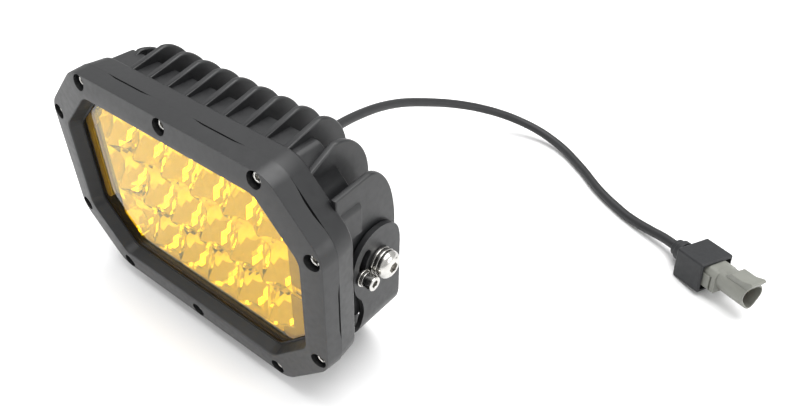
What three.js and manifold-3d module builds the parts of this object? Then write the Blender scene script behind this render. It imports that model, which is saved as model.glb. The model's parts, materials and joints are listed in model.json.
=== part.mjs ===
// Octagonal LED fog light on a tilting U bracket, with its lead and sealed connector.
// Units are millimetres, +Z is up, and the lamp looks along -Y.
// Z = 0 is the underside of the bracket, X = 0 the middle of the lamp, Y = 0 the middle of its depth.

import * as THREE from "three";
import { mergeVertices } from "three/addons/utils/BufferGeometryUtils.js";
import Module from "manifold-3d";

// ---------------------------------------------------------------- driving dimensions

const LAMP_DEPTH = 73.7;
const FRONT_Y = -LAMP_DEPTH / 2;
const AXIS_HEIGHT = 88;
const GAP = 0.3;

const FACE = { halfWidth: 116.6, halfHeight: 76.7, chamfer: 34.6, radius: 19 };
const RIM = { halfWidth: 117.2, halfHeight: 77.6, chamfer: 34.8, radius: 19.5 };
const FLANGE_REAR = { halfWidth: 115.6, halfHeight: 77.3, chamfer: 34.8, radius: 19 };
const OPENING = { halfWidth: 101.2, halfHeight: 61.6, chamfer: 29, radius: 11 };
const LENS_EDGE = { halfWidth: 98.6, halfHeight: 59, chamfer: 27.5, radius: 9 };
const LENS_PLATE = { halfWidth: 104, halfHeight: 64.4, chamfer: 30, radius: 9 };
const CAVITY = { halfWidth: 99.5, halfHeight: 60, chamfer: 28, radius: 8 };
const BODY = { halfWidth: 107.4, halfHeight: 75.2, chamfer: 28.5, radius: 5 };
const DRIVER_BLOCK = { halfWidth: 84, halfHeight: 44, chamfer: 14, radius: 4 };
const DRIVER_CAVITY = { halfWidth: 60, halfHeight: 32, chamfer: 5, radius: 2 };
const ARRAY = { halfWidth: 84.6, halfHeight: 53.8, chamfer: 15, radius: 4 };

const LENS_FRONT = 8.4;
const LENS_THICKNESS = 3.8;
const BEZEL_DEPTH = 12.3;
const FLANGE_FRONT = BEZEL_DEPTH + GAP;
const FLANGE_BACK = 26.5;
const GASKET_THICKNESS = 1.5;
const CAVITY_FLOOR = 35;
const BODY_BACK = 43;
const DRIVER_BACK = 57;
const ARRAY_FRONT = 14.7;
const ARRAY_BACK = 31.8;
const BOARD_FRONT = 32.1;
const BOARD_BACK = 34.7;

const SCREW_PLACES = [
  [-73.8, 71.2], [0, 71.2], [73.8, 71.2], [110, 37.4], [110, -37.4],
  [73.8, -71.2], [0, -71.2], [-73.8, -71.2], [-110, -37.4], [-110, 37.4],
];
const SCREW_BORE_RADIUS = 5.1;
const SCREW_BORE_DEPTH = 7.5;

const FIN_PITCH = 15.95;
const FIN_THICKNESS = 4;
const FIN_FAMILIES = [
  { places: [-3.5, -2.5, -1.5, -0.5, 0.5, 1.5, 2.5, 3.5, 4.5], front: 77, peak: [48.8, 82.5], rear: [70, 52], trim: 0 },
  { places: [-4.5, 5.5], front: 68.8, peak: [42.7, 77.2], rear: [69.5, 45], trim: 62 },
  { places: [-5.5, 6.5], front: 59, peak: [50.6, 61], rear: [LAMP_DEPTH, 14], trim: 38 },
  { places: [-6.5], front: 50, peak: [52, 51], rear: [LAMP_DEPTH, 12], trim: 38 },
];

const PIVOT_Y = 53.6;
const PIVOT_Z = 2;
const ARM_OUTER = 110;
const PLATE = 3.3;
const LOCK_RADIUS = 14.8;
const LOCK_ANGLE = -11.5;
const LOCK_SLOT = { radius: LOCK_RADIUS, halfWidth: 3, from: -28, to: 47 };
const SWING_LIMIT = 140;

// ---------------------------------------------------------------- solid helpers

const library = await Module();
library.setup();

function solidOf(geometry) {
  const bare = geometry.index ? geometry.toNonIndexed() : geometry.clone();
  bare.deleteAttribute("normal");
  bare.deleteAttribute("uv");
  const merged = mergeVertices(bare, 1e-4);
  const mesh = new library.Mesh({
    numProp: 3,
    vertProperties: new Float32Array(merged.attributes.position.array),
    triVerts: new Uint32Array(merged.index.array),
  });
  return new library.Manifold(mesh);
}

function geometryOf(solid) {
  const mesh = solid.getMesh();
  const geometry = new THREE.BufferGeometry();
  geometry.setAttribute("position", new THREE.BufferAttribute(mesh.vertProperties, 3));
  geometry.setIndex(new THREE.BufferAttribute(mesh.triVerts, 1));
  geometry.computeVertexNormals();
  return geometry;
}

function combine(first, { add = [], cut = [] }) {
  let solid = solidOf(first);
  for (const geometry of add) {
    solid = solid.add(solidOf(geometry));
  }
  for (const geometry of cut) {
    solid = solid.subtract(solidOf(geometry));
  }
  return geometryOf(solid);
}

function overlap(first, second) {
  return geometryOf(solidOf(first).intersect(solidOf(second)));
}

// ---------------------------------------------------------------- shape helpers

const AXES = {
  x: new THREE.Matrix4().makeBasis(
    new THREE.Vector3(0, 1, 0), new THREE.Vector3(0, 0, 1), new THREE.Vector3(1, 0, 0)),
  y: new THREE.Matrix4().makeBasis(
    new THREE.Vector3(1, 0, 0), new THREE.Vector3(0, 0, 1), new THREE.Vector3(0, -1, 0)),
  z: new THREE.Matrix4(),
};

// A closed outline through the given corners, each [x, y, corner radius].
function roundedOutline(corners) {
  const shape = new THREE.Shape();
  corners.forEach(([x, y, radius = 0], index) => {
    const before = corners[(index + corners.length - 1) % corners.length];
    const after = corners[(index + 1) % corners.length];
    const corner = new THREE.Vector2(x, y);
    const toBefore = new THREE.Vector2(before[0], before[1]).sub(corner).normalize();
    const toAfter = new THREE.Vector2(after[0], after[1]).sub(corner).normalize();
    const halfAngle = Math.acos(toBefore.dot(toAfter)) / 2;
    const reach = radius / Math.tan(halfAngle);
    const start = corner.clone().addScaledVector(toBefore, reach);
    const end = corner.clone().addScaledVector(toAfter, reach);
    if (index === 0) {
      shape.moveTo(start.x, start.y);
    } else {
      shape.lineTo(start.x, start.y);
    }
    if (radius > 0) {
      shape.quadraticCurveTo(x, y, end.x, end.y);
    }
  });
  shape.closePath();
  return shape;
}

function octagon({ halfWidth, halfHeight, chamfer, radius }) {
  const narrow = halfWidth - chamfer;
  const low = halfHeight - chamfer;
  return roundedOutline([
    [halfWidth, -low, radius], [halfWidth, low, radius], [narrow, halfHeight, radius],
    [-narrow, halfHeight, radius], [-halfWidth, low, radius], [-halfWidth, -low, radius],
    [-narrow, -halfHeight, radius], [narrow, -halfHeight, radius],
  ]);
}

function grown(size, by) {
  return {
    ...size,
    halfWidth: size.halfWidth + by,
    halfHeight: size.halfHeight + by,
    chamfer: size.chamfer + by * (2 - Math.SQRT2),
    radius: Math.max(size.radius + by, 1),
  };
}

// An outline pushed along an axis between two places. Along x it is drawn in (y, z), along y in (x, z).
function prism(shape, axis, from, to, curveSegments = 4) {
  const geometry = new THREE.ExtrudeGeometry(shape, {
    depth: to - from, bevelEnabled: false, curveSegments,
  });
  geometry.applyMatrix4(AXES[axis]);
  const shift = axis === "y" ? to : from;
  const move = { x: [shift, 0, 0], y: [0, shift, 0], z: [0, 0, shift] }[axis];
  return geometry.translate(...move);
}

// A body of octagonal section whose size changes from one depth to the next.
function octagonLoft(sections, curveSegments = 4) {
  const rings = sections.map(({ size }) => octagon(size).getPoints(curveSegments).slice(0, -1));
  const count = rings[0].length;
  const positions = [];
  rings.forEach((ring, level) => {
    ring.forEach((point) => positions.push(point.x, sections[level].at, point.y));
  });
  const indices = [];
  for (let level = 0; level + 1 < rings.length; level += 1) {
    for (let index = 0; index < count; index += 1) {
      const next = (index + 1) % count;
      const near = level * count;
      const far = near + count;
      indices.push(near + index, near + next, far + next, near + index, far + next, far + index);
    }
  }
  const last = (rings.length - 1) * count;
  for (const [a, b, c] of THREE.ShapeUtils.triangulateShape(rings[0], [])) {
    indices.push(a, c, b);
    indices.push(last + a, last + b, last + c);
  }
  const geometry = new THREE.BufferGeometry();
  geometry.setAttribute("position", new THREE.Float32BufferAttribute(positions, 3));
  geometry.setIndex(indices);
  return solidSide(geometry);
}

// Turns a closed surface the right way out when its volume comes out negative.
function solidSide(geometry) {
  const place = geometry.attributes.position;
  const index = geometry.index.array;
  const [a, b, c] = [new THREE.Vector3(), new THREE.Vector3(), new THREE.Vector3()];
  let volume = 0;
  for (let face = 0; face < index.length; face += 3) {
    a.fromBufferAttribute(place, index[face]);
    b.fromBufferAttribute(place, index[face + 1]);
    c.fromBufferAttribute(place, index[face + 2]);
    volume += a.dot(b.cross(c));
  }
  if (volume < 0) {
    const turned = Array.from(index);
    for (let face = 0; face < turned.length; face += 3) {
      [turned[face + 1], turned[face + 2]] = [turned[face + 2], turned[face + 1]];
    }
    geometry.setIndex(turned);
  }
  return geometry;
}

// A cylinder along an axis. place gives the other two coordinates in X, Y, Z order.
function rod(axis, place, radius, from, to, segments = 20) {
  const geometry = new THREE.CylinderGeometry(radius, radius, to - from, segments);
  geometry.translate(0, (from + to) / 2, 0);
  if (axis === "x") {
    geometry.rotateZ(-Math.PI / 2).translate(0, place[0], place[1]);
  } else if (axis === "y") {
    geometry.translate(place[0], 0, place[1]);
  } else {
    geometry.rotateX(Math.PI / 2).translate(place[0], place[1], 0);
  }
  return geometry;
}

function block(x, y, z) {
  return new THREE.BoxGeometry(x[1] - x[0], y[1] - y[0], z[1] - z[0]).translate(
    (x[0] + x[1]) / 2, (y[0] + y[1]) / 2, (z[0] + z[1]) / 2);
}

// A body turned about the Y axis from [radius, y] points that start and end on the axis.
function turned(profile, segments) {
  const points = profile.map(([radius, y]) => new THREE.Vector2(radius, y));
  const bare = new THREE.LatheGeometry(points, segments);
  bare.deleteAttribute("normal");
  bare.deleteAttribute("uv");
  return solidSide(mergeVertices(bare, 1e-4));
}

function finish(color, roughness, metalness, extra = {}) {
  return new THREE.MeshStandardMaterial({ color, roughness, metalness, ...extra });
}

const FINISH = {
  coat: () => finish(0x2b2d30, 0.55, 0.2),
  steel: () => finish(0xc9c6be, 0.28, 1),
  amber: () => finish(0xf2b21a, 0.08, 0, { transparent: true, opacity: 0.45 }),
  mirror: () => finish(0xd9d9d6, 0.12, 1),
  trim: () => finish(0x8d8778, 0.6, 0),
  rubber: () => finish(0x141414, 0.85, 0),
  board: () => finish(0xe8e6dc, 0.5, 0.1),
  driver: () => finish(0x23613a, 0.6, 0.1),
  sheath: () => finish(0x1b1c1e, 0.6, 0),
  plug: () => finish(0x9fa198, 0.55, 0),
  wedge: () => finish(0xc8641e, 0.5, 0),
  brass: () => finish(0xb9b3a2, 0.3, 1),
};

function part(name, geometry, material) {
  const mesh = new THREE.Mesh(geometry, material);
  mesh.name = name;
  return mesh;
}

// ---------------------------------------------------------------- lamp head (origin: middle of its front face)

function bezel() {
  const shell = octagonLoft([
    { size: grown(OPENING, 3), at: 0 }, { size: FACE, at: 1.7 }, { size: RIM, at: BEZEL_DEPTH },
  ]);
  const window = octagonLoft([
    { size: grown(OPENING, 0.6), at: -1 }, { size: OPENING, at: 0.6 },
    { size: LENS_EDGE, at: LENS_FRONT - GAP }, { size: LENS_EDGE, at: LENS_FRONT + 1 },
  ]);
  const pocket = prism(octagon(grown(LENS_PLATE, GAP)), "y", LENS_FRONT - GAP, BEZEL_DEPTH + 1);
  const bores = SCREW_PLACES.flatMap((place) => [
    rod("y", place, SCREW_BORE_RADIUS, -1, SCREW_BORE_DEPTH),
    rod("y", place, 2.35, 0, BEZEL_DEPTH + 1, 12),
  ]);
  return combine(shell, { cut: [window, pocket, ...bores, ...pryingSlots()] });
}

// Shallow slots in the joint between bezel and housing, where a blade can part them.
function pryingSlots() {
  const deep = 2.6;
  const slots = [];
  for (const side of [-1, 1]) {
    const edge = side * RIM.halfHeight;
    for (const [from, to] of [[-58, -21], [22, 55]]) {
      slots.push(block([from, to], [BEZEL_DEPTH - 0.8, BEZEL_DEPTH + 1], sorted(edge - side * deep, edge + side)));
    }
    const flank = side * RIM.halfWidth;
    slots.push(block(sorted(flank - side * deep, flank + side), [BEZEL_DEPTH - 0.8, BEZEL_DEPTH + 1], [-22, 22]));
  }
  return slots;
}

function sorted(a, b) {
  return a < b ? [a, b] : [b, a];
}

function lens() {
  return prism(octagon(LENS_PLATE), "y", LENS_FRONT, LENS_FRONT + LENS_THICKNESS);
}

function gasket() {
  const ring = octagon(grown(LENS_PLATE, 0.4));
  ring.holes.push(octagon(grown(CAVITY, 0.2)));
  return prism(ring, "y", FLANGE_FRONT, FLANGE_FRONT + GASKET_THICKNESS);
}

function finOutline({ front, peak, rear }) {
  const [peakY, peakZ] = peak;
  const [rearY, rearZ] = rear;
  const shoulderY = peakY + (rearY - peakY) * 0.53;
  const shoulderZ = rearZ + (peakZ - rearZ) * 0.59;
  const shape = new THREE.Shape();
  shape.moveTo(FLANGE_BACK - 2, -front);
  shape.lineTo(peakY, -peakZ);
  shape.bezierCurveTo(shoulderY, -peakZ, rearY, -shoulderZ, rearY, -rearZ);
  shape.lineTo(rearY, rearZ);
  shape.bezierCurveTo(rearY, shoulderZ, shoulderY, peakZ, peakY, peakZ);
  shape.lineTo(FLANGE_BACK - 2, front);
  shape.closePath();
  return shape;
}

function fins() {
  const all = [];
  for (const family of FIN_FAMILIES) {
    const outline = finOutline(family);
    for (const place of family.places) {
      const middle = place * FIN_PITCH;
      const plate = prism(outline, "x", middle - FIN_THICKNESS / 2, middle + FIN_THICKNESS / 2, 7);
      all.push(family.trim > 0 ? trimmedFin(plate, middle, family.trim) : plate);
    }
  }
  return all;
}

// The lower half of an outer fin is cut back so that the bracket can swing past it.
function trimmedFin(plate, middle, radius) {
  const from = middle - FIN_THICKNESS;
  const to = middle + FIN_THICKNESS;
  const keep = combine(rod("x", [PIVOT_Y, PIVOT_Z], radius, from, to, 48), {
    add: [block([from, to], [0, 2 * LAMP_DEPTH], [PIVOT_Z, 2 * LAMP_DEPTH])],
  });
  return overlap(plate, keep);
}

function lockPlace(radius, degrees) {
  const angle = THREE.MathUtils.degToRad(degrees);
  return [PIVOT_Y - radius * Math.cos(angle), PIVOT_Z + radius * Math.sin(angle)];
}

function heatSinkHousing() {
  const flange = octagonLoft([
    { size: grown(RIM, -0.2), at: FLANGE_FRONT }, { size: FLANGE_REAR, at: FLANGE_BACK - 1.5 },
    { size: grown(FLANGE_REAR, -1), at: FLANGE_BACK },
  ]);
  const lock = lockPlace(LOCK_RADIUS, LOCK_ANGLE);
  const add = [
    prism(octagon(BODY), "y", FLANGE_BACK - 3, BODY_BACK),
    prism(octagon(DRIVER_BLOCK), "y", BODY_BACK - 2, DRIVER_BACK),
    rod("y", [0, 0], 13, DRIVER_BACK - 1, DRIVER_BACK + 2, 32),
    ...fins(),
  ];
  const cut = [
    prism(octagon(CAVITY), "y", 0, CAVITY_FLOOR),
    prism(octagon(grown(LENS_PLATE, 0.8)), "y", 0, FLANGE_FRONT + GASKET_THICKNESS + GAP),
    prism(octagon(DRIVER_CAVITY), "y", CAVITY_FLOOR - 1, DRIVER_BACK - 5),
    rod("y", [0, 0], 6.1, CAVITY_FLOOR, DRIVER_BACK + 3),
    rod("y", [0, 0], 15, DRIVER_BACK + 2, LAMP_DEPTH + 1, 32),
    ...bracketReliefs(),
    rod("y", [2 * FIN_PITCH, 0], 3.1, DRIVER_BACK - 6, DRIVER_BACK + 1, 16),
    ...SCREW_PLACES.map((place) => rod("y", place, 2.3, 0, FLANGE_BACK - 3, 12)),
  ];
  for (const side of [-1, 1]) {
    const bossEnd = side * (ARM_OUTER - PLATE - GAP);
    const root = side * (5.5 * FIN_PITCH - 1);
    add.push(rod("x", [PIVOT_Y, PIVOT_Z], 11, ...sorted(root, bossEnd), 32));
    add.push(rod("x", lock, 6, ...sorted(root, bossEnd), 24));
    const flank = sorted(side * (6.5 * FIN_PITCH + FIN_THICKNESS / 2), side * (BODY.halfWidth + 2));
    cut.push(block(flank, [FLANGE_BACK + 0.2, BODY_BACK + 1], [-90, 29]));
    cut.push(rod("x", [PIVOT_Y, PIVOT_Z], 5.3, ...sorted(side * 90, side * ARM_OUTER)));
    cut.push(rod("x", lock, 2.8, ...sorted(side * 90, side * ARM_OUTER), 16));
  }
  return combine(flange, { add, cut });
}

// The lower corners behind the flange are cut back where the slanted bracket corners swing past:
// what lies outside the line |x| + |z| = SWING_LIMIT goes.
function bracketReliefs() {
  const reach = BODY.halfWidth + 10;
  const low = -100;
  return [-1, 1].map((side) => {
    const corner = [
      [side * reach, reach - SWING_LIMIT, 0], [side * (SWING_LIMIT + low), low, 0], [side * reach, low, 0],
    ];
    return prism(roundedOutline(corner), "y", FLANGE_BACK + 2, BODY_BACK + 1);
  });
}

// Six by three rectangular wells, each narrowing to a lamp opening.
function cupPlaces() {
  const places = [];
  for (let column = -2.5; column <= 2.5; column += 1) {
    for (let row = -1; row <= 1; row += 1) {
      places.push([column * 27.9, row * 35.4]);
    }
  }
  return places;
}

function frustum(place, mouth, throat, from, to) {
  const positions = [];
  for (const [size, y] of [[mouth, from], [throat, to]]) {
    for (const [sx, sz] of [[-1, -1], [1, -1], [1, 1], [-1, 1]]) {
      positions.push(place[0] + (sx * size[0]) / 2, y, place[1] + (sz * size[1]) / 2);
    }
  }
  const indices = [0, 2, 1, 0, 3, 2, 4, 5, 6, 4, 6, 7];
  for (let index = 0; index < 4; index += 1) {
    const next = (index + 1) % 4;
    indices.push(index, next, next + 4, index, next + 4, index + 4);
  }
  const geometry = new THREE.BufferGeometry();
  geometry.setAttribute("position", new THREE.Float32BufferAttribute(positions, 3));
  geometry.setIndex(indices);
  return solidSide(geometry);
}

function reflectorArray() {
  const slab = prism(octagon(ARRAY), "y", ARRAY_FRONT, ARRAY_BACK);
  const limit = prism(octagon(grown(ARRAY, -1)), "y", ARRAY_FRONT - 2, ARRAY_BACK + 2);
  const wells = cupPlaces().flatMap((place) => [
    overlap(frustum(place, [26.8, 34.2], [13, 15], ARRAY_FRONT - 0.01, ARRAY_BACK - 4), limit),
    frustum(place, [13, 15], [9, 9], ARRAY_BACK - 4.1, ARRAY_BACK + 0.5),
  ]);
  return combine(slab, { cut: wells });
}

function trimFrame() {
  const outline = octagon(grown(CAVITY, -GAP));
  outline.holes.push(octagon(grown(ARRAY, GAP)));
  return prism(outline, "y", ARRAY_FRONT, ARRAY_FRONT + 2);
}

function ledBoard() {
  const board = prism(octagon(grown(CAVITY, -1)), "y", BOARD_FRONT, BOARD_BACK);
  const emitters = cupPlaces().map(([x, z]) =>
    block([x - 2, x + 2], [BOARD_FRONT - 1.2, BOARD_FRONT + 0.4], [z - 2, z + 2]));
  return combine(board, { add: emitters });
}

function driverBoard() {
  const back = DRIVER_BACK - 5 - 1;
  const board = block([-56, 56], [back - 1.6, back], [-28, 28]);
  const coil = rod("y", [-30, 8], 9, back - 9.6, back - 1.2, 20);
  const capacitors = [8, 22, 36].map((x) => rod("y", [x, -12], 5, back - 12, back - 1.2, 16));
  const chips = [[-8, 10], [12, 12]].map(([x, z]) =>
    block([x - 5, x + 5], [back - 3.6, back - 1.2], [z - 4, z + 4]));
  return combine(board, { add: [coil, ...capacitors, ...chips] });
}

function ventPlug() {
  return turned([[0, -5.5], [2.8, -5.5], [2.8, 0], [5, 0], [5, 2.6], [3.8, 3.6], [0, 3.6]], 20);
}

function hexagon(acrossFlats) {
  const corners = [];
  for (let index = 0; index < 6; index += 1) {
    const angle = (index * Math.PI) / 3;
    const reach = acrossFlats / 2 / Math.cos(Math.PI / 6);
    corners.push([reach * Math.cos(angle), reach * Math.sin(angle), 0]);
  }
  return roundedOutline(corners);
}

// Origin on the seat of the gland, with its lead leaving along +Y.
function cableGland() {
  const stem = turned([[0, -7], [5.8, -7], [5.8, 0.5], [0, 0.5]], 20);
  const nut = prism(hexagon(16), "y", 0, 5);
  const dome = turned([[0, 4.5], [8, 4.5], [8, 9], [6.6, 13], [0, 13]], 24);
  return combine(stem, { add: [nut, dome] });
}

function strainRelief() {
  return turned([[0, 0], [5.9, 0], [5.9, 6], [4.3, 29.6], [0, 29.6]], 20);
}

// ---------------------------------------------------------------- fasteners (axis Y, head towards -Y, seat at 0)

function socketScrew({ headRadius, headHeight, socket, shankRadius, length, segments = 20 }) {
  const bevel = 0.4;
  const body = turned([
    [0, -headHeight], [headRadius - bevel, -headHeight], [headRadius, -headHeight + bevel],
    [headRadius, 0], [shankRadius, 0], [shankRadius, length - bevel], [shankRadius - bevel, length],
    [0, length],
  ], segments);
  const recess = prism(hexagon(socket), "y", -headHeight - 1, -headHeight * 0.45);
  return combine(body, { cut: [recess] });
}

function buttonScrew({ headRadius, headHeight, socket, shankRadius, length, segments = 28 }) {
  const dome = [];
  const flat = socket * 0.62;
  for (let step = 0; step <= 5; step += 1) {
    const share = step / 5;
    const radius = flat + (headRadius - flat) * Math.sin((share * Math.PI) / 2);
    dome.push([radius, -headHeight + (headHeight - 0.6) * (1 - Math.cos((share * Math.PI) / 2))]);
  }
  const body = turned([
    [0, -headHeight], ...dome, [headRadius, 0], [shankRadius, 0], [shankRadius, length], [0, length],
  ], segments);
  const recess = prism(hexagon(socket), "y", -headHeight - 1, -headHeight * 0.4);
  return combine(body, { cut: [recess] });
}

function flatWasher(outer, bore, thickness) {
  return combine(rod("y", [0, 0], outer, 0, thickness, 32), {
    cut: [rod("y", [0, 0], bore, -1, thickness + 1, 24)],
  });
}

function springWasher(outer, bore, thickness) {
  return combine(rod("y", [0, 0], outer, 0, thickness, 32), {
    cut: [rod("y", [0, 0], bore, -1, thickness + 1, 24), block([0, outer + 1], [-1, thickness + 1], [-0.6, 0.6])],
  });
}

// ---------------------------------------------------------------- bracket (lamp head frame)

// The bent strip seen from the front: two arms, two slanted corners and the base.
function bracketStrip() {
  const base = -AXIS_HEIGHT;
  const outer = [
    [-ARM_OUTER, 40, 0], [-ARM_OUTER, -43, 21], [-78, base, 12],
    [78, base, 12], [ARM_OUTER, -43, 21], [ARM_OUTER, 40, 0],
  ];
  const inset = ARM_OUTER - PLATE;
  const inner = [
    [inset, 40, 0], [inset, -44, 18], [76.5, base + PLATE, 9],
    [-76.5, base + PLATE, 9], [-inset, -44, 18], [-inset, 40, 0],
  ];
  return roundedOutline([...outer, ...inner]);
}

// The strip seen from the side: a wide base, a neck clear of the lamp and a round head at the pivot.
function bracketSide() {
  const head = 21.5;
  const shape = new THREE.Shape();
  const base = -AXIS_HEIGHT;
  shape.moveTo(32, base - 1);
  shape.lineTo(32, base + 3.5);
  shape.quadraticCurveTo(33.5, base + 9, 38.5, base + 14);
  shape.lineTo(37, -48);
  shape.quadraticCurveTo(36.5, -40, 39.5, -34);
  shape.quadraticCurveTo(41.5, -28, 38, -19);
  shape.quadraticCurveTo(32.5, -12, PIVOT_Y - head, -5);
  shape.lineTo(PIVOT_Y - head, PIVOT_Z + 4);
  shape.absarc(PIVOT_Y - 0.3, PIVOT_Z + 2, head, Math.PI - 0.1, 0.62, true);
  shape.quadraticCurveTo(72, 10, 72.6, 0);
  shape.lineTo(73.4, -30);
  shape.lineTo(73.4, base - 1);
  shape.closePath();
  return shape;
}

// An arc-shaped slot about the pivot, its ends given in degrees above the level line to the front.
function lockSlot(slot) {
  const { radius, halfWidth } = slot;
  const [from, to] = [slot.from, slot.to].map((degrees) => Math.PI - THREE.MathUtils.degToRad(degrees));
  const [startY, startZ] = lockPlace(radius, slot.from);
  const [endY, endZ] = lockPlace(radius, slot.to);
  const shape = new THREE.Shape();
  shape.absarc(PIVOT_Y, PIVOT_Z, radius + halfWidth, from, to, true);
  shape.absarc(endY, endZ, halfWidth, to, to - Math.PI, true);
  shape.absarc(PIVOT_Y, PIVOT_Z, radius - halfWidth, to, from, false);
  shape.absarc(startY, startZ, halfWidth, from - Math.PI, from - 2 * Math.PI, true);
  return shape;
}

function bracket() {
  const strip = prism(bracketStrip(), "y", 20, 90, 6);
  const side = prism(bracketSide(), "x", -ARM_OUTER - 1, ARM_OUTER + 1, 6);
  const slot = lockSlot(LOCK_SLOT);
  const cut = [
    rod("x", [PIVOT_Y, PIVOT_Z], 5.35, -ARM_OUTER - 1, ARM_OUTER + 1, 24),
    prism(slot, "x", -ARM_OUTER - 1, ARM_OUTER + 1, 6),
    rod("z", [0, 52], 5.25, -AXIS_HEIGHT - 1, -AXIS_HEIGHT + PLATE + 1, 24),
    ...[-50, 50].map((x) => rod("z", [x, 52], 4.25, -AXIS_HEIGHT - 1, -AXIS_HEIGHT + PLATE + 1, 20)),
  ];
  return combine(overlap(strip, side), { cut });
}

// ---------------------------------------------------------------- lead and connector

const LEAD_RADIUS = 3.8;
const LEAD_ROUTE = [
  [0, 65.7, 88], [-0.3, 76, 87.9], [-2.5, 90, 87.2], [-6.3, 105, 85.2], [-10.5, 123, 81.6], [-14, 148, 76],
  [-16, 173, 69.5], [-16, 199, 61.2], [-12.5, 224, 52], [-3.3, 256, 39.8], [12, 283, 28.6],
  [33, 303.5, 18], [60, 312, 10.2], [88, 307.5, 5.6], [116.5, 291.5, 4.1], [143, 272, 4.1],
  [167, 259, 4.1], [182, 252.6, 4.7], [197, 247.3, 6.6], [210, 242.9, 8.7], [221.8, 237.3, 10.5],
];
const CONNECTOR_PLACE = [235.5, 230.2, 0];
const CONNECTOR_TURN = THREE.MathUtils.degToRad(-27.5);
const CONNECTOR_PITCH = THREE.MathUtils.degToRad(8);
const CONNECTOR_AXIS = 12.5;
const PIN_SPREAD = 2.8;
const PIN_HEIGHT = 15.5;

function lead() {
  const curve = new THREE.CatmullRomCurve3(LEAD_ROUTE.map((point) => new THREE.Vector3(...point)));
  const section = new THREE.Shape();
  section.absarc(0, 0, LEAD_RADIUS, 0, 2 * Math.PI);
  return new THREE.ExtrudeGeometry(section, { steps: 40, extrudePath: curve, curveSegments: 5 });
}

// Connector pieces: x runs from the back of the boot to the mouth, z up from the surface.
function connectorBoot() {
  const body = prism(roundedOutline([
    [-14.5, 0, 2], [14.5, 0, 2], [14.5, 24.5, 2.2], [-14.5, 24.5, 2.2],
  ]), "x", 0, 25);
  const recess = block([17.6, 26], [-12.4, 12.4], [2.4, 22.4]);
  const collar = rod("x", [0, CONNECTOR_AXIS], 6.4, -13.4, 1, 20);
  const ring = rod("x", [0, CONNECTOR_AXIS], 8, -9.5, -4.5, 24);
  return combine(body, { add: [collar, ring], cut: [recess] });
}

function mouthOutline(inset) {
  return roundedOutline([
    [-12.6 + inset, 23.6 - inset, 6.2 - inset], [0, 0.3 + inset * 1.6, 5 - inset],
    [12.6 - inset, 23.6 - inset, 6.2 - inset],
  ].map(([y, z, radius]) => [y * 1.28, z, radius]));
}

function connectorHousing() {
  const shell = prism(mouthOutline(0), "x", 31, 57);
  const rear = prism(roundedOutline([
    [-11.6, 4.5, 1.5], [11.6, 4.5, 1.5], [11.6, 18.5, 1.5], [7.5, 22, 3], [-7.5, 22, 3], [-11.6, 18.5, 1.5],
  ]), "x", 17.9, 34);
  const latch = prism(roundedOutline([
    [38, 22, 0], [57, 22, 0], [60.5, 27.6, 0], [58.5, 28.6, 0], [52, 26.4, 0], [42, 26.4, 0],
  ]), "y", -6.6, 6.6);
  const hollow = prism(mouthOutline(1.7), "x", 36, 60);
  return combine(shell, { add: [rear, latch], cut: [hollow] });
}

function wedgeLock() {
  const body = block([36.3, 44], [-5.3, 5.3], [12.2, 18.8]);
  const ports = [-PIN_SPREAD, PIN_SPREAD].map((y) => rod("x", [y, PIN_HEIGHT], 1.5, 35, 46, 12));
  return combine(body, { cut: ports });
}

function contactPin(y) {
  return rod("x", [y, PIN_HEIGHT], 1.1, 36.4, 52, 12);
}

// ---------------------------------------------------------------- assembly

function sideHardware(side, label) {
  const group = new THREE.Group();
  const place = (mesh, [y, z], outside) => {
    mesh.rotation.z = (side * Math.PI) / 2;
    mesh.position.set(side * (ARM_OUTER + outside), y, z);
    group.add(mesh);
  };
  const pivot = [PIVOT_Y, PIVOT_Z];
  const lock = lockPlace(LOCK_RADIUS, LOCK_ANGLE);
  const boltShape = { headRadius: 8.75, headHeight: 5.5, socket: 6, shankRadius: 4.95, length: 24 };
  const lockShape = { headRadius: 4.5, headHeight: 5.6, socket: 4, shankRadius: 2.45, length: 18 };
  place(part(`${label}_pivot_washer`, flatWasher(9, 5.3, 2), FINISH.steel()), pivot, 2 + GAP);
  place(part(`${label}_pivot_spring_washer`, springWasher(8.9, 5.3, 2.4), FINISH.steel()), pivot, 4.7 + GAP);
  place(part(`${label}_pivot_bolt`, buttonScrew(boltShape), FINISH.steel()), pivot, 5 + GAP);
  place(part(`${label}_lock_washer`, flatWasher(5.5, 2.75, 1.4), FINISH.steel()), lock, 1.4 + GAP);
  place(part(`${label}_lock_spring_washer`, springWasher(4.7, 2.75, 1.5), FINISH.steel()), lock, 3.2 + GAP);
  place(part(`${label}_lock_screw`, socketScrew(lockShape), FINISH.steel()), lock, 3.5 + GAP);
  return group;
}

function bezelScrews() {
  const group = new THREE.Group();
  const shape = { headRadius: 3.5, headHeight: 4, socket: 3, shankRadius: 2, length: 14, segments: 16 };
  SCREW_PLACES.forEach(([x, z], index) => {
    const screw = part(`bezel_screw_${index + 1}`, socketScrew(shape), FINISH.steel());
    screw.position.set(x, SCREW_BORE_DEPTH - GAP, z);
    group.add(screw);
  });
  return group;
}

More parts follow.
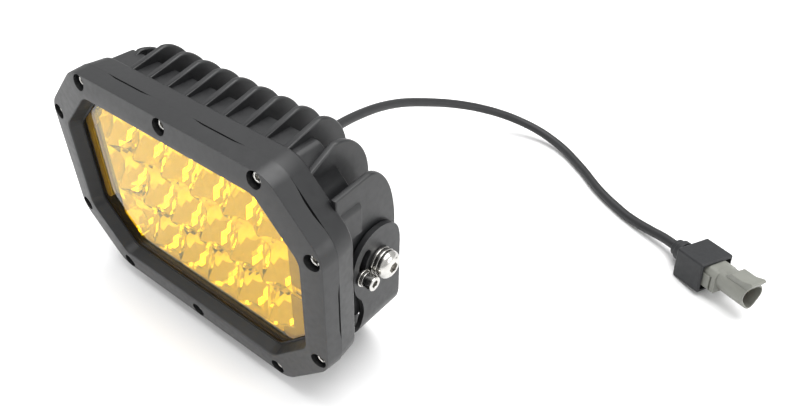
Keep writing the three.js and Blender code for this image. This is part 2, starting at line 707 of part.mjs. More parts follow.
function lampHead() {
  const head = new THREE.Group();
  head.position.set(0, FRONT_Y, AXIS_HEIGHT);
  head.add(
    part("bezel", bezel(), FINISH.coat()),
    part("lens", lens(), FINISH.amber()),
    part("lens_gasket", gasket(), FINISH.rubber()),
    part("heat_sink_housing", heatSinkHousing(), FINISH.coat()),
    part("reflector_array", reflectorArray(), FINISH.mirror()),
    part("trim_frame", trimFrame(), FINISH.trim()),
    part("led_board", ledBoard(), FINISH.board()),
    part("driver_board", driverBoard(), FINISH.driver()),
    bezelScrews(), sideHardware(1, "right"), sideHardware(-1, "left"),
    part("bracket", bracket(), FINISH.coat()),
  );
  const vent = part("vent_plug", ventPlug(), FINISH.rubber());
  vent.position.set(2 * FIN_PITCH, DRIVER_BACK + GAP, 0);
  const gland = part("cable_gland", cableGland(), FINISH.sheath());
  gland.position.set(0, DRIVER_BACK + 2 + GAP, 0);
  const relief = part("strain_relief", strainRelief(), FINISH.sheath());
  relief.position.set(0, DRIVER_BACK + 2 + 13 + 2 * GAP, 0);
  head.add(vent, gland, relief);
  return head;
}

function connector() {
  const group = new THREE.Group();
  group.position.set(...CONNECTOR_PLACE);
  group.rotation.set(0, -CONNECTOR_PITCH, CONNECTOR_TURN, "ZYX");
  group.add(
    part("connector_boot", connectorBoot(), FINISH.sheath()),
    part("connector_housing", connectorHousing(), FINISH.plug()),
    part("wedge_lock", wedgeLock(), FINISH.wedge()),
    part("contact_pin_1", contactPin(-PIN_SPREAD), FINISH.brass()),
    part("contact_pin_2", contactPin(PIN_SPREAD), FINISH.brass()),
  );
  return group;
}

const fogLight = new THREE.Group();
fogLight.add(lampHead(), part("lead", lead(), FINISH.sheath()), connector());

export default fogLight;
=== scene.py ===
"""Looks of an octagonal LED fog light on its tilting bracket, with its lead and sealed connector.

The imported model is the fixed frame. Each sub-assembly shapes its pieces in the frame of its own drawing, in
millimetres, and one matrix sets them in the row frame, in metres.
"""

import json
import logging
import math
from collections.abc import Callable, Iterable, Sequence
from dataclasses import dataclass, field
from enum import Enum

import bmesh
import bpy
from mathutils import Matrix, Vector
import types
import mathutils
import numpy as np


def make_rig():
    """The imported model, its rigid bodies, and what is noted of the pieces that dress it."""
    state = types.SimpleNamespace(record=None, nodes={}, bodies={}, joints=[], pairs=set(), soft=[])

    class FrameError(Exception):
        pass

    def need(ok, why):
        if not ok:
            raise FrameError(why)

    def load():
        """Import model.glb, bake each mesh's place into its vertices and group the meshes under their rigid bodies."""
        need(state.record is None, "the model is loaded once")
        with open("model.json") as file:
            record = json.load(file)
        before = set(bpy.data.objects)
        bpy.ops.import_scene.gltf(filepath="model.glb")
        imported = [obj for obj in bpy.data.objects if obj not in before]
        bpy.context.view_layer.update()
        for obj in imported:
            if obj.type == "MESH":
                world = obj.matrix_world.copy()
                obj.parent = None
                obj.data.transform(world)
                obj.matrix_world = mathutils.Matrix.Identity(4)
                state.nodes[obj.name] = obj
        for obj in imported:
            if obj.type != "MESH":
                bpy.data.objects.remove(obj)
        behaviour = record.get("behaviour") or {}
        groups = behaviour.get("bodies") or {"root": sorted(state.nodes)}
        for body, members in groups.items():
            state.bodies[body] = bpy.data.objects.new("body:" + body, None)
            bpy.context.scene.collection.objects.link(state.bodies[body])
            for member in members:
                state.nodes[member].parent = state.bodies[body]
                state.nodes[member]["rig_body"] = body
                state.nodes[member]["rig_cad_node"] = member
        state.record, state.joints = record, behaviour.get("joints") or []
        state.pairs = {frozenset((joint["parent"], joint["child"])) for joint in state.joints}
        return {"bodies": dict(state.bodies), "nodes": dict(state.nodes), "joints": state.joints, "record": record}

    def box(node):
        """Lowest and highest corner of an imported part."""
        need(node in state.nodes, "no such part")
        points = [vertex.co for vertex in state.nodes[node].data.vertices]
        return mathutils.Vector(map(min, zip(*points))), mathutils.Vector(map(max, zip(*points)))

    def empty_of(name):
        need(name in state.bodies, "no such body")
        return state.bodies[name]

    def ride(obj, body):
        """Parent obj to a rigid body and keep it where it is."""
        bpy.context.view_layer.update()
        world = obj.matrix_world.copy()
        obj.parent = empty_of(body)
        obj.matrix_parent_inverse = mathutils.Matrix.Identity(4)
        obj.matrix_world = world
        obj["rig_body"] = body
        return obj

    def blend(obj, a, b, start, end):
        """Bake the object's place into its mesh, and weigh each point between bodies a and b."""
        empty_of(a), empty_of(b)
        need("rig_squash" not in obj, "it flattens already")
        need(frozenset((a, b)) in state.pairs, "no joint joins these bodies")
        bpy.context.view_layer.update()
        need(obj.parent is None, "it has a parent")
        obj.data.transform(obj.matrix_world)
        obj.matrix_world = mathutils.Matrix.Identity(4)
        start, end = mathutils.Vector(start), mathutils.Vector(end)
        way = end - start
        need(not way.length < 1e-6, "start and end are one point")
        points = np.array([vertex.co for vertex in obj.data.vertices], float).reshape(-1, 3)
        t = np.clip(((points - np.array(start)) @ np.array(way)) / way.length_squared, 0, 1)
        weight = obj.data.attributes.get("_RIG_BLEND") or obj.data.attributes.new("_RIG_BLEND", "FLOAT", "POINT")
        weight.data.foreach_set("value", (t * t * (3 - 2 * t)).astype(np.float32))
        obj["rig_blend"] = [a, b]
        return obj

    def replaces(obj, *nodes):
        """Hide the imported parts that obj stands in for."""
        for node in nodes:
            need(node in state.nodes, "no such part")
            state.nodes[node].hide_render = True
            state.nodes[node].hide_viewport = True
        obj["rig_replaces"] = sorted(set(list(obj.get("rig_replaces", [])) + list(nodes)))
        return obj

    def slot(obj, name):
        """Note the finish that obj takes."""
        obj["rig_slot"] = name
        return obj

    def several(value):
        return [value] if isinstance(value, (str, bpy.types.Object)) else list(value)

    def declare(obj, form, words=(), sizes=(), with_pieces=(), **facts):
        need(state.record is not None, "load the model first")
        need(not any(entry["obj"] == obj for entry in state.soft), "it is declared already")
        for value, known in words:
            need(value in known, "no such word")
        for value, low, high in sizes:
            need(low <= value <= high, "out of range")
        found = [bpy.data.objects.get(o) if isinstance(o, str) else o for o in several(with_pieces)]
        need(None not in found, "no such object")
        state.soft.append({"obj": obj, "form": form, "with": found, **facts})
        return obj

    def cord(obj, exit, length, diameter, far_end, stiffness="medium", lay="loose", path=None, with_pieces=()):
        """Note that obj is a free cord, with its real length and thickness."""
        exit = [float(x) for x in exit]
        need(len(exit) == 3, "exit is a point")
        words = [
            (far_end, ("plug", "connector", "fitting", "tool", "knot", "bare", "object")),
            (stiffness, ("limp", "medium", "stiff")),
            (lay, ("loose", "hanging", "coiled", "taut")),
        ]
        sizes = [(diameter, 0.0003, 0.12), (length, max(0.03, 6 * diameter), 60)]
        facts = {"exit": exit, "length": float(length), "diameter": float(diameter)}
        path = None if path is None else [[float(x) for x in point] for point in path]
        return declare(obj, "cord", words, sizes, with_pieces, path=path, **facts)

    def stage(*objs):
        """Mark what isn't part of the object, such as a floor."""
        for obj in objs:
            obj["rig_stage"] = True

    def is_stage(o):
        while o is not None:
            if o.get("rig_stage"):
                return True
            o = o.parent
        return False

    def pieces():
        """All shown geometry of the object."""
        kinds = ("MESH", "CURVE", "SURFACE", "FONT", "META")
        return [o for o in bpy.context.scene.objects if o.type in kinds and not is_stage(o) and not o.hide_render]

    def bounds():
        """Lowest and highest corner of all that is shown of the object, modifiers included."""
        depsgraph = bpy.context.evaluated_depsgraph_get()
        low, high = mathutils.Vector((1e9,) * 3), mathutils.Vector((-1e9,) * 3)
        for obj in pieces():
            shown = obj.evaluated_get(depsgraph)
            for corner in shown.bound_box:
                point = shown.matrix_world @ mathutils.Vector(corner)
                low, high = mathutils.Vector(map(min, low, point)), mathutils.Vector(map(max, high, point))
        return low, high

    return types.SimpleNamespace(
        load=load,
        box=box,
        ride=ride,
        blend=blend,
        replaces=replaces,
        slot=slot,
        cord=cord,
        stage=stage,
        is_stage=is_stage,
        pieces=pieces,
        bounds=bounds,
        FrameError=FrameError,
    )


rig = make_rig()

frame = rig.load()

LOG = logging.getLogger("fog_light")
MM = 0.001
GAP = 0.3
SAME = 1e-3
SHARP = math.radians(50)
PLASTIC_IOR = 1.48
SIZE_FILE = "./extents.json"

Colour = tuple[float, float, float]
Point2 = tuple[float, float]
Outline = list[Point2]
Span = tuple[float, float]
Point3 = tuple[float, float, float]
Corner = tuple[float, float, float]
"""A corner's place in its outline, and the radius of its arc."""

PATTERN_SPAN: Span = (0.3, 0.7)
"""The part of a noise pattern's range that its values mostly fill."""


class Body(Enum):
    """The two bodies that the tilt joint joins."""

    LAMP = "lamp"
    BRACKET = "bracket"


class Slot(Enum):
    """The record's material slots."""

    LAMP_COAT = "lamp_coat"
    BRACKET_COAT = "bracket_coat"
    STAINLESS = "stainless"
    AMBER_LENS = "amber_lens"
    SEAL_RUBBER = "seal_rubber"
    REFLECTOR = "reflector_chrome"
    INNER_TRIM = "inner_trim"
    BOARD_WHITE = "board_white"
    DRIVER_GREEN = "driver_green"
    BLACK_PLASTIC = "black_plastic"
    CABLE_SHEATH = "cable_sheath"
    BOOT_BLACK = "boot_black"
    CONNECTOR_GREY = "connector_grey"
    WEDGE_ORANGE = "wedge_orange"
    PIN_METAL = "pin_metal"


class Axis(Enum):
    """The axis that a shape is pushed or turned along."""

    X = 0
    Y = 1
    Z = 2

    def point(self, first: float, second: float, along: float) -> Vector:
        """The point whose other two coordinates, in X, Y, Z order, are first and second."""
        place = [first, second]
        place.insert(self.value, along)
        return Vector(place)


class Cut(Enum):
    """How a second solid changes a first one."""

    JOIN = "UNION"
    REMOVE = "DIFFERENCE"
    KEEP = "INTERSECT"


# ---------------------------------------------------------------- finishes


class Recipe:
    """A material under construction: one Principled shader and the textures that feed it."""

    def __init__(self, name: str, source: str = "Object") -> None:
        """Starts a material.

        Args:
            name: The material's name.
            source: The texture coordinates that its patterns read, Object or UV.
        """
        self.material = bpy.data.materials.new(name)
        self.material.use_nodes = True
        self.tree = self.material.node_tree
        self.shader = self.tree.nodes["Principled BSDF"]
        self.coordinates = self.tree.nodes.new("ShaderNodeTexCoord").outputs[source]

    def constants(self, **values: float | Colour) -> None:
        """Sets the shader's own sockets, named with underscores for spaces.

        Args:
            **values: A number or a colour for each socket.
        """
        for name, value in values.items():
            socket = self.shader.inputs[name.replace("_", " ").title().replace("Ior", "IOR")]
            socket.default_value = (*value, 1.0) if isinstance(value, tuple) else value

    def noise(self, size: float, detail: float = 3.0, stretch: Vector | None = None) -> bpy.types.NodeSocket:
        """A noise pattern.

        Args:
            size: The pattern's typical spot, in metres.
            detail: How many finer layers it holds.
            stretch: A scale for each coordinate, where the pattern runs along one of them.

        Returns:
            The socket with the pattern's value.
        """
        texture = self.tree.nodes.new("ShaderNodeTexNoise")
        texture.inputs["Scale"].default_value = 1.0 / size
        texture.inputs["Detail"].default_value = detail
        source = self.coordinates
        if stretch is not None:
            mapping = self.tree.nodes.new("ShaderNodeMapping")
            mapping.inputs["Scale"].default_value = stretch
            self.tree.links.new(source, mapping.inputs["Vector"])
            source = mapping.outputs["Vector"]
        self.tree.links.new(source, texture.inputs["Vector"])
        return texture.outputs["Fac"]

    def colour(self, factor: bpy.types.NodeSocket, dark: Colour, light: Colour) -> None:
        """Feeds the base colour from a pattern.

        Args:
            factor: The pattern.
            dark: The colour where it is low.
            light: The colour where it is high.
        """
        ramp = self.tree.nodes.new("ShaderNodeValToRGB")
        for stop, position, shade in zip(ramp.color_ramp.elements, PATTERN_SPAN, (dark, light)):
            stop.position = position
            stop.color = (*shade, 1.0)
        self.tree.links.new(factor, ramp.inputs["Fac"])
        self.tree.links.new(ramp.outputs["Color"], self.shader.inputs["Base Color"])

    def roughness(self, factor: bpy.types.NodeSocket, span: Span) -> None:
        """Feeds the roughness from a pattern, between the two ends of a span."""
        mapped = self.tree.nodes.new("ShaderNodeMapRange")
        ends = {"From Min": PATTERN_SPAN[0], "From Max": PATTERN_SPAN[1], "To Min": span[0], "To Max": span[1]}
        for name, value in ends.items():
            mapped.inputs[name].default_value = value
        self.tree.links.new(factor, mapped.inputs["Value"])
        self.tree.links.new(mapped.outputs["Result"], self.shader.inputs["Roughness"])

    def relief(self, height: bpy.types.NodeSocket, depth: float, strength: float = 1.0) -> None:
        """Feeds the normal from a pattern taken as a height, with its full depth in metres."""
        bump = self.tree.nodes.new("ShaderNodeBump")
        bump.inputs["Distance"].default_value = depth
        bump.inputs["Strength"].default_value = strength
        self.tree.links.new(height, bump.inputs["Height"])
        self.tree.links.new(bump.outputs["Normal"], self.shader.inputs["Normal"])


@dataclass(frozen=True)
class PowderCoat:
    """Satin powder coat: a fine orange peel over a tone that drifts slowly."""

    name: str
    dark: Colour
    light: Colour
    roughness: Span
    peel: float = 0.0011
    peel_depth: float = 0.00002

    def material(self) -> bpy.types.Material:
        """Makes the coat's material."""
        recipe = Recipe(self.name)
        recipe.constants(metallic=0.0, ior=1.5)
        recipe.colour(recipe.noise(0.03, 4.0), self.dark, self.light)
        recipe.roughness(recipe.noise(0.004, 5.0), self.roughness)
        recipe.relief(recipe.noise(self.peel, 2.0), self.peel_depth, 0.6)
        return recipe.material


@dataclass(frozen=True)
class BareMetal:
    """Bright metal with fine tool marks that run round or along a piece."""

    name: str
    dark: Colour
    light: Colour
    roughness: Span
    marks: float = 0.0009
    marks_depth: float = 0.000006

    def material(self) -> bpy.types.Material:
        """Makes the metal's material."""
        recipe = Recipe(self.name)
        recipe.constants(metallic=1.0)
        recipe.colour(recipe.noise(0.005, 3.0), self.dark, self.light)
        recipe.roughness(recipe.noise(self.marks, 4.0), self.roughness)
        recipe.relief(recipe.noise(self.marks, 3.0, Vector((1.0, 4.0, 1.0))), self.marks_depth, 0.5)
        return recipe.material


@dataclass(frozen=True)
class Moulding:
    """Moulded plastic or rubber, with the faint grain of its tool."""

    name: str
    dark: Colour
    light: Colour
    roughness: Span
    grain: float = 0.0007
    grain_depth: float = 0.00002

    def material(self) -> bpy.types.Material:
        """Makes the moulding's material."""
        recipe = Recipe(self.name)
        recipe.constants(ior=PLASTIC_IOR)
        recipe.colour(recipe.noise(0.012, 4.0), self.dark, self.light)
        recipe.roughness(recipe.noise(0.003, 4.0), self.roughness)
        recipe.relief(recipe.noise(self.grain, 2.0), self.grain_depth, 0.7)
        return recipe.material


@dataclass(frozen=True)
class CableJacket:
    """Extruded jacket: long faint draw lines that follow the cable, read from its own UV map."""

    name: str
    dark: Colour
    light: Colour
    roughness: Span

    def material(self) -> bpy.types.Material:
        """Makes the jacket's material."""
        recipe = Recipe(self.name, source="UV")
        recipe.constants(ior=PLASTIC_IOR)
        lines = recipe.noise(0.0015, 3.0, Vector((0.06, 1.0, 1.0)))
        recipe.colour(recipe.noise(0.02, 3.0), self.dark, self.light)
        recipe.roughness(lines, self.roughness)
        recipe.relief(lines, 0.00003, 0.5)
        return recipe.material


@dataclass(frozen=True)
class AmberPane:
    """Clear amber glass with a barely uneven polish, which lets lamps shine through it."""

    name: str
    tint: Colour
    roughness: Span = (0.0, 0.02)

    def material(self) -> bpy.types.Material:
        """Makes the pane's material."""
        recipe = Recipe(self.name)
        recipe.constants(transmission_weight=1.0, ior=1.49, specular_ior_level=0.25, base_color=self.tint)
        recipe.roughness(recipe.noise(0.02, 2.0), self.roughness)
        recipe.relief(recipe.noise(0.03, 1.0), 0.00001, 0.3)
        nodes, links = recipe.tree.nodes, recipe.tree.links
        clear = nodes.new("ShaderNodeBsdfTransparent")
        light = nodes.new("ShaderNodeLightPath")
        mix = nodes.new("ShaderNodeMixShader")
        clear.inputs["Color"].default_value = (*self.tint, 1.0)
        links.new(light.outputs["Is Shadow Ray"], mix.inputs["Fac"])
        links.new(recipe.shader.outputs["BSDF"], mix.inputs[1])
        links.new(clear.outputs["BSDF"], mix.inputs[2])
        links.new(mix.outputs["Shader"], nodes["Material Output"].inputs["Surface"])
        return recipe.material


FINISHES = {
    Slot.LAMP_COAT: PowderCoat("lamp_powder_coat",
                               (0.0085, 0.0088, 0.0095), (0.0115, 0.0120, 0.0128), (0.36, 0.46)),
    Slot.BRACKET_COAT: PowderCoat("bracket_powder_coat",
                                  (0.0105, 0.0108, 0.0117), (0.0145, 0.015, 0.016), (0.40, 0.50)),
    Slot.STAINLESS: BareMetal("stainless_steel", (0.50, 0.49, 0.47), (0.62, 0.61, 0.58), (0.16, 0.26)),
    Slot.AMBER_LENS: AmberPane("amber_polycarbonate", (1.0, 0.745, 0.08)),
    Slot.SEAL_RUBBER: Moulding("seal_rubber", (0.005, 0.005, 0.005), (0.009, 0.009, 0.009), (0.55, 0.7)),
    Slot.REFLECTOR: BareMetal("metallised_plastic",
                              (0.90, 0.88, 0.84), (0.96, 0.95, 0.92), (0.05, 0.12), 0.003),
    Slot.INNER_TRIM: Moulding("inner_panel_plastic", (0.30, 0.28, 0.23), (0.35, 0.33, 0.27), (0.5, 0.6)),
    Slot.BOARD_WHITE: Moulding("white_solder_mask", (0.76, 0.75, 0.70), (0.84, 0.83, 0.79), (0.35, 0.5)),
    Slot.DRIVER_GREEN: Moulding("green_solder_mask", (0.03, 0.14, 0.06), (0.05, 0.19, 0.08), (0.35, 0.5)),
    Slot.BLACK_PLASTIC: Moulding("black_nylon",
                                 (0.007, 0.007, 0.0075), (0.011, 0.011, 0.0115), (0.42, 0.55)),
    Slot.CABLE_SHEATH: CableJacket("cable_jacket",
                                   (0.008, 0.0083, 0.0092), (0.012, 0.0124, 0.0135), (0.45, 0.6)),
    Slot.BOOT_BLACK: Moulding("boot_overmould",
                              (0.0085, 0.0095, 0.011), (0.012, 0.013, 0.0145), (0.5, 0.62), 0.0005),
    Slot.CONNECTOR_GREY: Moulding("connector_nylon",
                                  (0.17, 0.173, 0.152), (0.20, 0.203, 0.18), (0.42, 0.55)),
    Slot.WEDGE_ORANGE: Moulding("wedge_nylon", (0.55, 0.17, 0.03), (0.66, 0.22, 0.05), (0.4, 0.5)),
    Slot.PIN_METAL: BareMetal("tinned_brass", (0.66, 0.60, 0.46), (0.78, 0.72, 0.58), (0.2, 0.3)),
}

EMITTER_FINISH = Moulding("emitter_phosphor", (0.85, 0.62, 0.08), (0.95, 0.72, 0.12), (0.25, 0.35))


# ---------------------------------------------------------------- shapes on the bench


def rounded(corners: Iterable[Corner], segments: int = 6) -> Outline:
    """An outline with a true arc at each corner.

    Args:
        corners: Each corner's place and radius, counter-clockwise or clockwise.
        segments: The steps of each arc.

    Returns:
        The outline's points.
    """
    corners = list(corners)
    points: Outline = []
    for index, (x, y, radius) in enumerate(corners):
        corner = Vector((x, y))
        before = (Vector(corners[index - 1][:2]) - corner).normalized()
        after = (Vector(corners[(index + 1) % len(corners)][:2]) - corner).normalized()
        if radius <= 0.0:
            points.append((x, y))
            continue
        half = before.angle(after) / 2
        middle = corner + (before + after).normalized() * radius / math.sin(half)
        start = corner + before * radius / math.tan(half) - middle
        end = corner + after * radius / math.tan(half) - middle
        sweep = math.atan2(start.x * end.y - start.y * end.x, start.dot(end))
        for step in range(segments + 1):
            angle = math.atan2(start.y, start.x) + sweep * step / segments
            points.append((middle.x + radius * math.cos(angle), middle.y + radius * math.sin(angle)))
    return points


def bezier(start: Point2, first: Point2, second: Point2, end: Point2, steps: int = 14) -> Outline:
    """Points along a cubic curve, without its first one."""
    points: Outline = []
    for step in range(1, steps + 1):
        t = step / steps
        weights = ((1 - t) ** 3, 3 * t * (1 - t) ** 2, 3 * t * t * (1 - t), t**3)
        held = (start, first, second, end)
        points.append(tuple(sum(w * p[axis] for w, p in zip(weights, held)) for axis in (0, 1)))
    return points


def bend(start: Point2, corner: Point2, end: Point2, steps: int = 8) -> Outline:
    """Points along a curve that leaves its start and meets its end along the lines through a corner."""
    held = [tuple(a + (b - a) * 2 / 3 for a, b in zip(tip, corner)) for tip in (start, end)]
    return bezier(start, *held, end, steps)


def arc(centre: Point2, radius: float, start: float, end: float, steps: int = 16) -> Outline:
    """Points along an arc, from one angle in degrees to another."""
    angles = [math.radians(start + (end - start) * step / steps) for step in range(steps + 1)]
    return [(centre[0] + radius * math.cos(a), centre[1] + radius * math.sin(a)) for a in angles]


@dataclass(frozen=True)
class Octagon:
    """A rectangle with four chamfered corners, each of the eight corners rounded."""

    half_width: float
    half_height: float
    chamfer: float
    radius: float

    def grown(self, by: float) -> "Octagon":
        """The same octagon with every side moved out."""
        return Octagon(self.half_width + by, self.half_height + by,
                       self.chamfer + by * (2 - math.sqrt(2)), max(self.radius + by, 1.0))

    def outline(self, segments: int = 6) -> Outline:
        """Its points, counter-clockwise."""
        narrow = self.half_width - self.chamfer
        low = self.half_height - self.chamfer
        corners = [(self.half_width, -low), (self.half_width, low), (narrow, self.half_height),
                   (-narrow, self.half_height), (-self.half_width, low), (-self.half_width, -low),
                   (-narrow, -self.half_height), (narrow, -self.half_height)]
        return rounded([(x, y, self.radius) for x, y in corners], segments)


def edge_loop(shape: bmesh.types.BMesh, points: Iterable[Vector]) -> list[bmesh.types.BMEdge]:
    """Adds a closed loop of edges through the points."""
    verts = [shape.verts.new(point) for point in points]
    return [shape.edges.new(pair) for pair in zip(verts, verts[1:] + verts[:1])]


def loft(axis: Axis, sections: Sequence[tuple[Outline, float]]) -> bmesh.types.BMesh:
    """A closed body through outlines of equal point counts.

    Args:
        axis: The axis that the body runs along.
        sections: Each outline with its place on the axis.

    Returns:
        The closed body.
    """
    shape = bmesh.new()
    loops = [edge_loop(shape, [axis.point(u, v, at) for u, v in outline]) for outline, at in sections]
    for near, far in zip(loops, loops[1:]):
        bmesh.ops.bridge_loops(shape, edges=near + far)
    for end in (loops[0], loops[-1]):
        bmesh.ops.edgeloop_fill(shape, edges=end)
    bmesh.ops.recalc_face_normals(shape, faces=shape.faces)
    return shape


def prism(outline: Outline, axis: Axis, span: Span) -> bmesh.types.BMesh:
    """An outline pushed along an axis between two places."""
    return loft(axis, [(outline, span[0]), (outline, span[1])])


def bevelled(shape: bmesh.types.BMesh, width: float, segments: int = 3,
             only: Callable[[bmesh.types.BMEdge], bool] | None = None) -> bmesh.types.BMesh:
    """Rounds the edges where two faces meet more sharply than SHARP.

    Args:
        shape: The body, which is changed.
        width: The width of the rounding.
        segments: Its steps.
        only: A further test that an edge has to pass.

    Returns:
        The same body.
    """
    edges = [e for e in shape.edges if len(e.link_faces) == 2 and e.calc_face_angle() > SHARP]
    if only is not None:
        edges = [e for e in edges if only(e)]
    bmesh.ops.bevel(shape, geom=edges, offset=width, segments=segments, profile=0.5, affect="EDGES",
                    material=-1, clamp_overlap=True)
    return shape


def rod(axis: Axis, place: Point2, radius: float, span: Span, segments: int = 40) -> bmesh.types.BMesh:
    """A cylinder along an axis between two places."""
    ring = [(place[0] + radius * math.cos(a), place[1] + radius * math.sin(a))
            for a in (2 * math.pi * step / segments for step in range(segments))]
    return prism(ring, axis, span)


def block(x: Span, y: Span, z: Span) -> bmesh.types.BMesh:
    """A box between two corners."""
    shape = bmesh.new()
    bmesh.ops.create_cube(shape, size=1.0)
    spans = (x, y, z)
    size = Vector([abs(high - low) for low, high in spans])
    bmesh.ops.scale(shape, vec=size, verts=shape.verts)
    bmesh.ops.translate(shape, vec=Vector([(low + high) / 2 for low, high in spans]), verts=shape.verts)
    return shape


def turned(profile: Sequence[Point2], segments: int = 48) -> bmesh.types.BMesh:
    """A body turned about the Y axis.

    Args:
        profile: Its [radius, y] points, open where it starts and ends on the axis, closed where it doesn't.
        segments: The steps of the turn.

    Returns:
        The closed body.
    """
    shape = bmesh.new()
    verts = [shape.verts.new((radius, y, 0.0)) for radius, y in profile]
    pairs = list(zip(verts, verts[1:]))
    if profile[0][0] > 0:
        pairs.append((verts[-1], verts[0]))
    edges = [shape.edges.new(pair) for pair in pairs]
    bmesh.ops.spin(shape, geom=verts + edges, cent=(0, 0, 0), axis=(0, 1, 0), angle=2 * math.pi,
                   steps=segments, use_merge=True)
    bmesh.ops.remove_doubles(shape, verts=shape.verts, dist=1e-4)
    bmesh.ops.recalc_face_normals(shape, faces=shape.faces)
    return shape


def hexagon(across_flats: float) -> Outline:
    """A hexagon with two corners on its first axis."""
    reach = across_flats / 2 / math.cos(math.pi / 6)
    return [(reach * math.cos(a), reach * math.sin(a)) for a in (step * math.pi / 3 for step in range(6))]


def gathered(shapes: Iterable[bmesh.types.BMesh]) -> bmesh.types.BMesh:
    """Several bodies that don't touch, as one."""
    whole = bmesh.new()
    for shape in shapes:
        mesh = bpy.data.meshes.new("gathered")
        shape.to_mesh(mesh)
        shape.free()
        whole.from_mesh(mesh)
        bpy.data.meshes.remove(mesh)
    return whole


class Workpiece:
    """A solid on the bench that others are joined to or cut from."""

    def __init__(self, shape: bmesh.types.BMesh) -> None:
        """Lays a body on the bench and frees its bmesh."""
        mesh = bpy.data.meshes.new("workpiece")
        shape.to_mesh(mesh)
        shape.free()
        self.thing = bpy.data.objects.new("workpiece", mesh)
        bpy.context.scene.collection.objects.link(self.thing)

    def worked(self, cut: Cut, *shapes: bmesh.types.BMesh) -> "Workpiece":
        """Joins, removes or keeps the part inside each body in turn.

        Args:
            cut: What to do.
            *shapes: The bodies, which are freed.

        Returns:
            This workpiece.
        """
        for shape in shapes:
            tool = Workpiece(shape)
            step = self.thing.modifiers.new("step", "BOOLEAN")
            step.operation = cut.value
            step.solver = "EXACT"
            step.object = tool.thing
            graph = bpy.context.evaluated_depsgraph_get()
            before = self.thing.data
            after = bpy.data.meshes.new_from_object(self.thing.evaluated_get(graph))
            self.thing.modifiers.clear()
            self.thing.data = after
            bpy.data.meshes.remove(before)
            tool.scrap()
        return self

    def scrap(self) -> None:
        """Takes the workpiece off the bench."""
        mesh = self.thing.data
        bpy.data.objects.remove(self.thing)
        bpy.data.meshes.remove(mesh)

    def shape(self) -> bmesh.types.BMesh:
        """The body as a bmesh again, with the workpiece taken off the bench."""
        shape = bmesh.new()
        shape.from_mesh(self.thing.data)
        self.scrap()
        bmesh.ops.remove_doubles(shape, verts=shape.verts, dist=SAME)
        bmesh.ops.dissolve_degenerate(shape, edges=shape.edges, dist=SAME)
        return shape


class Workshop:
    """Gives shaped bodies their names, places, finishes and riders."""

    def __init__(self) -> None:
        """Makes every finish once."""
        self.finishes = {slot: finish.material() for slot, finish in FINISHES.items()}

    def deliver(self, name: str, shape: bmesh.types.BMesh, place: Matrix, body: Body | None, slot: Slot,
                stands_for: Sequence[str] = (), flat: bool = False, soften: float = 0.0) -> bpy.types.Object:
        """Finishes one piece.

        Args:
            name: The piece's name.
            shape: The body in its drawing's millimetres, which is freed.
            place: The matrix from the drawing to the row frame.
            body: The body that it rides on, or None where the caller blends it.
            slot: Its material slot.
            stands_for: The CAD nodes that it replaces.
            flat: True to keep every facet flat.
            soften: The width in millimetres of a last rounding of its sharp edges.

        Returns:
            The finished piece.
        """
        bmesh.ops.transform(shape, matrix=place, verts=shape.verts)
        mesh = bpy.data.meshes.new(name)
        shape.to_mesh(mesh)
        shape.free()
        piece = bpy.data.objects.new(name, mesh)
        bpy.context.scene.collection.objects.link(piece)
        mesh.materials.clear()
        mesh.materials.append(self.finishes[slot])
        if not flat:
            self.smooth(piece, soften)
        if body is not None:
            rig.ride(piece, body.value)
        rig.slot(piece, slot.value)
        if stands_for:
            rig.replaces(piece, *stands_for)
        LOG.info("%s: %d faces", name, len(mesh.polygons))
        return piece

    def smooth(self, piece: bpy.types.Object, soften: float) -> None:
        """Shades a piece smooth between its sharp edges, and rounds those where asked."""
        piece.data.shade_smooth()
        if soften > 0.0:
            bevel = piece.modifiers.new("soften", "BEVEL")
            bevel.width = soften * MM
            bevel.segments = 2
            bevel.limit_method = "ANGLE"
            bevel.angle_limit = SHARP
        else:
            piece.data.set_sharp_from_angle(angle=SHARP)
        normals = piece.modifiers.new("normals", "WEIGHTED_NORMAL")
        normals.keep_sharp = True

    def refinish(self, node: str, slot: Slot) -> None:
        """Gives a CAD node that stays its finish."""
        materials = frame["nodes"][node].data.materials
        materials.clear()
        materials.append(self.finishes[slot])


# ---------------------------------------------------------------- lead and connector


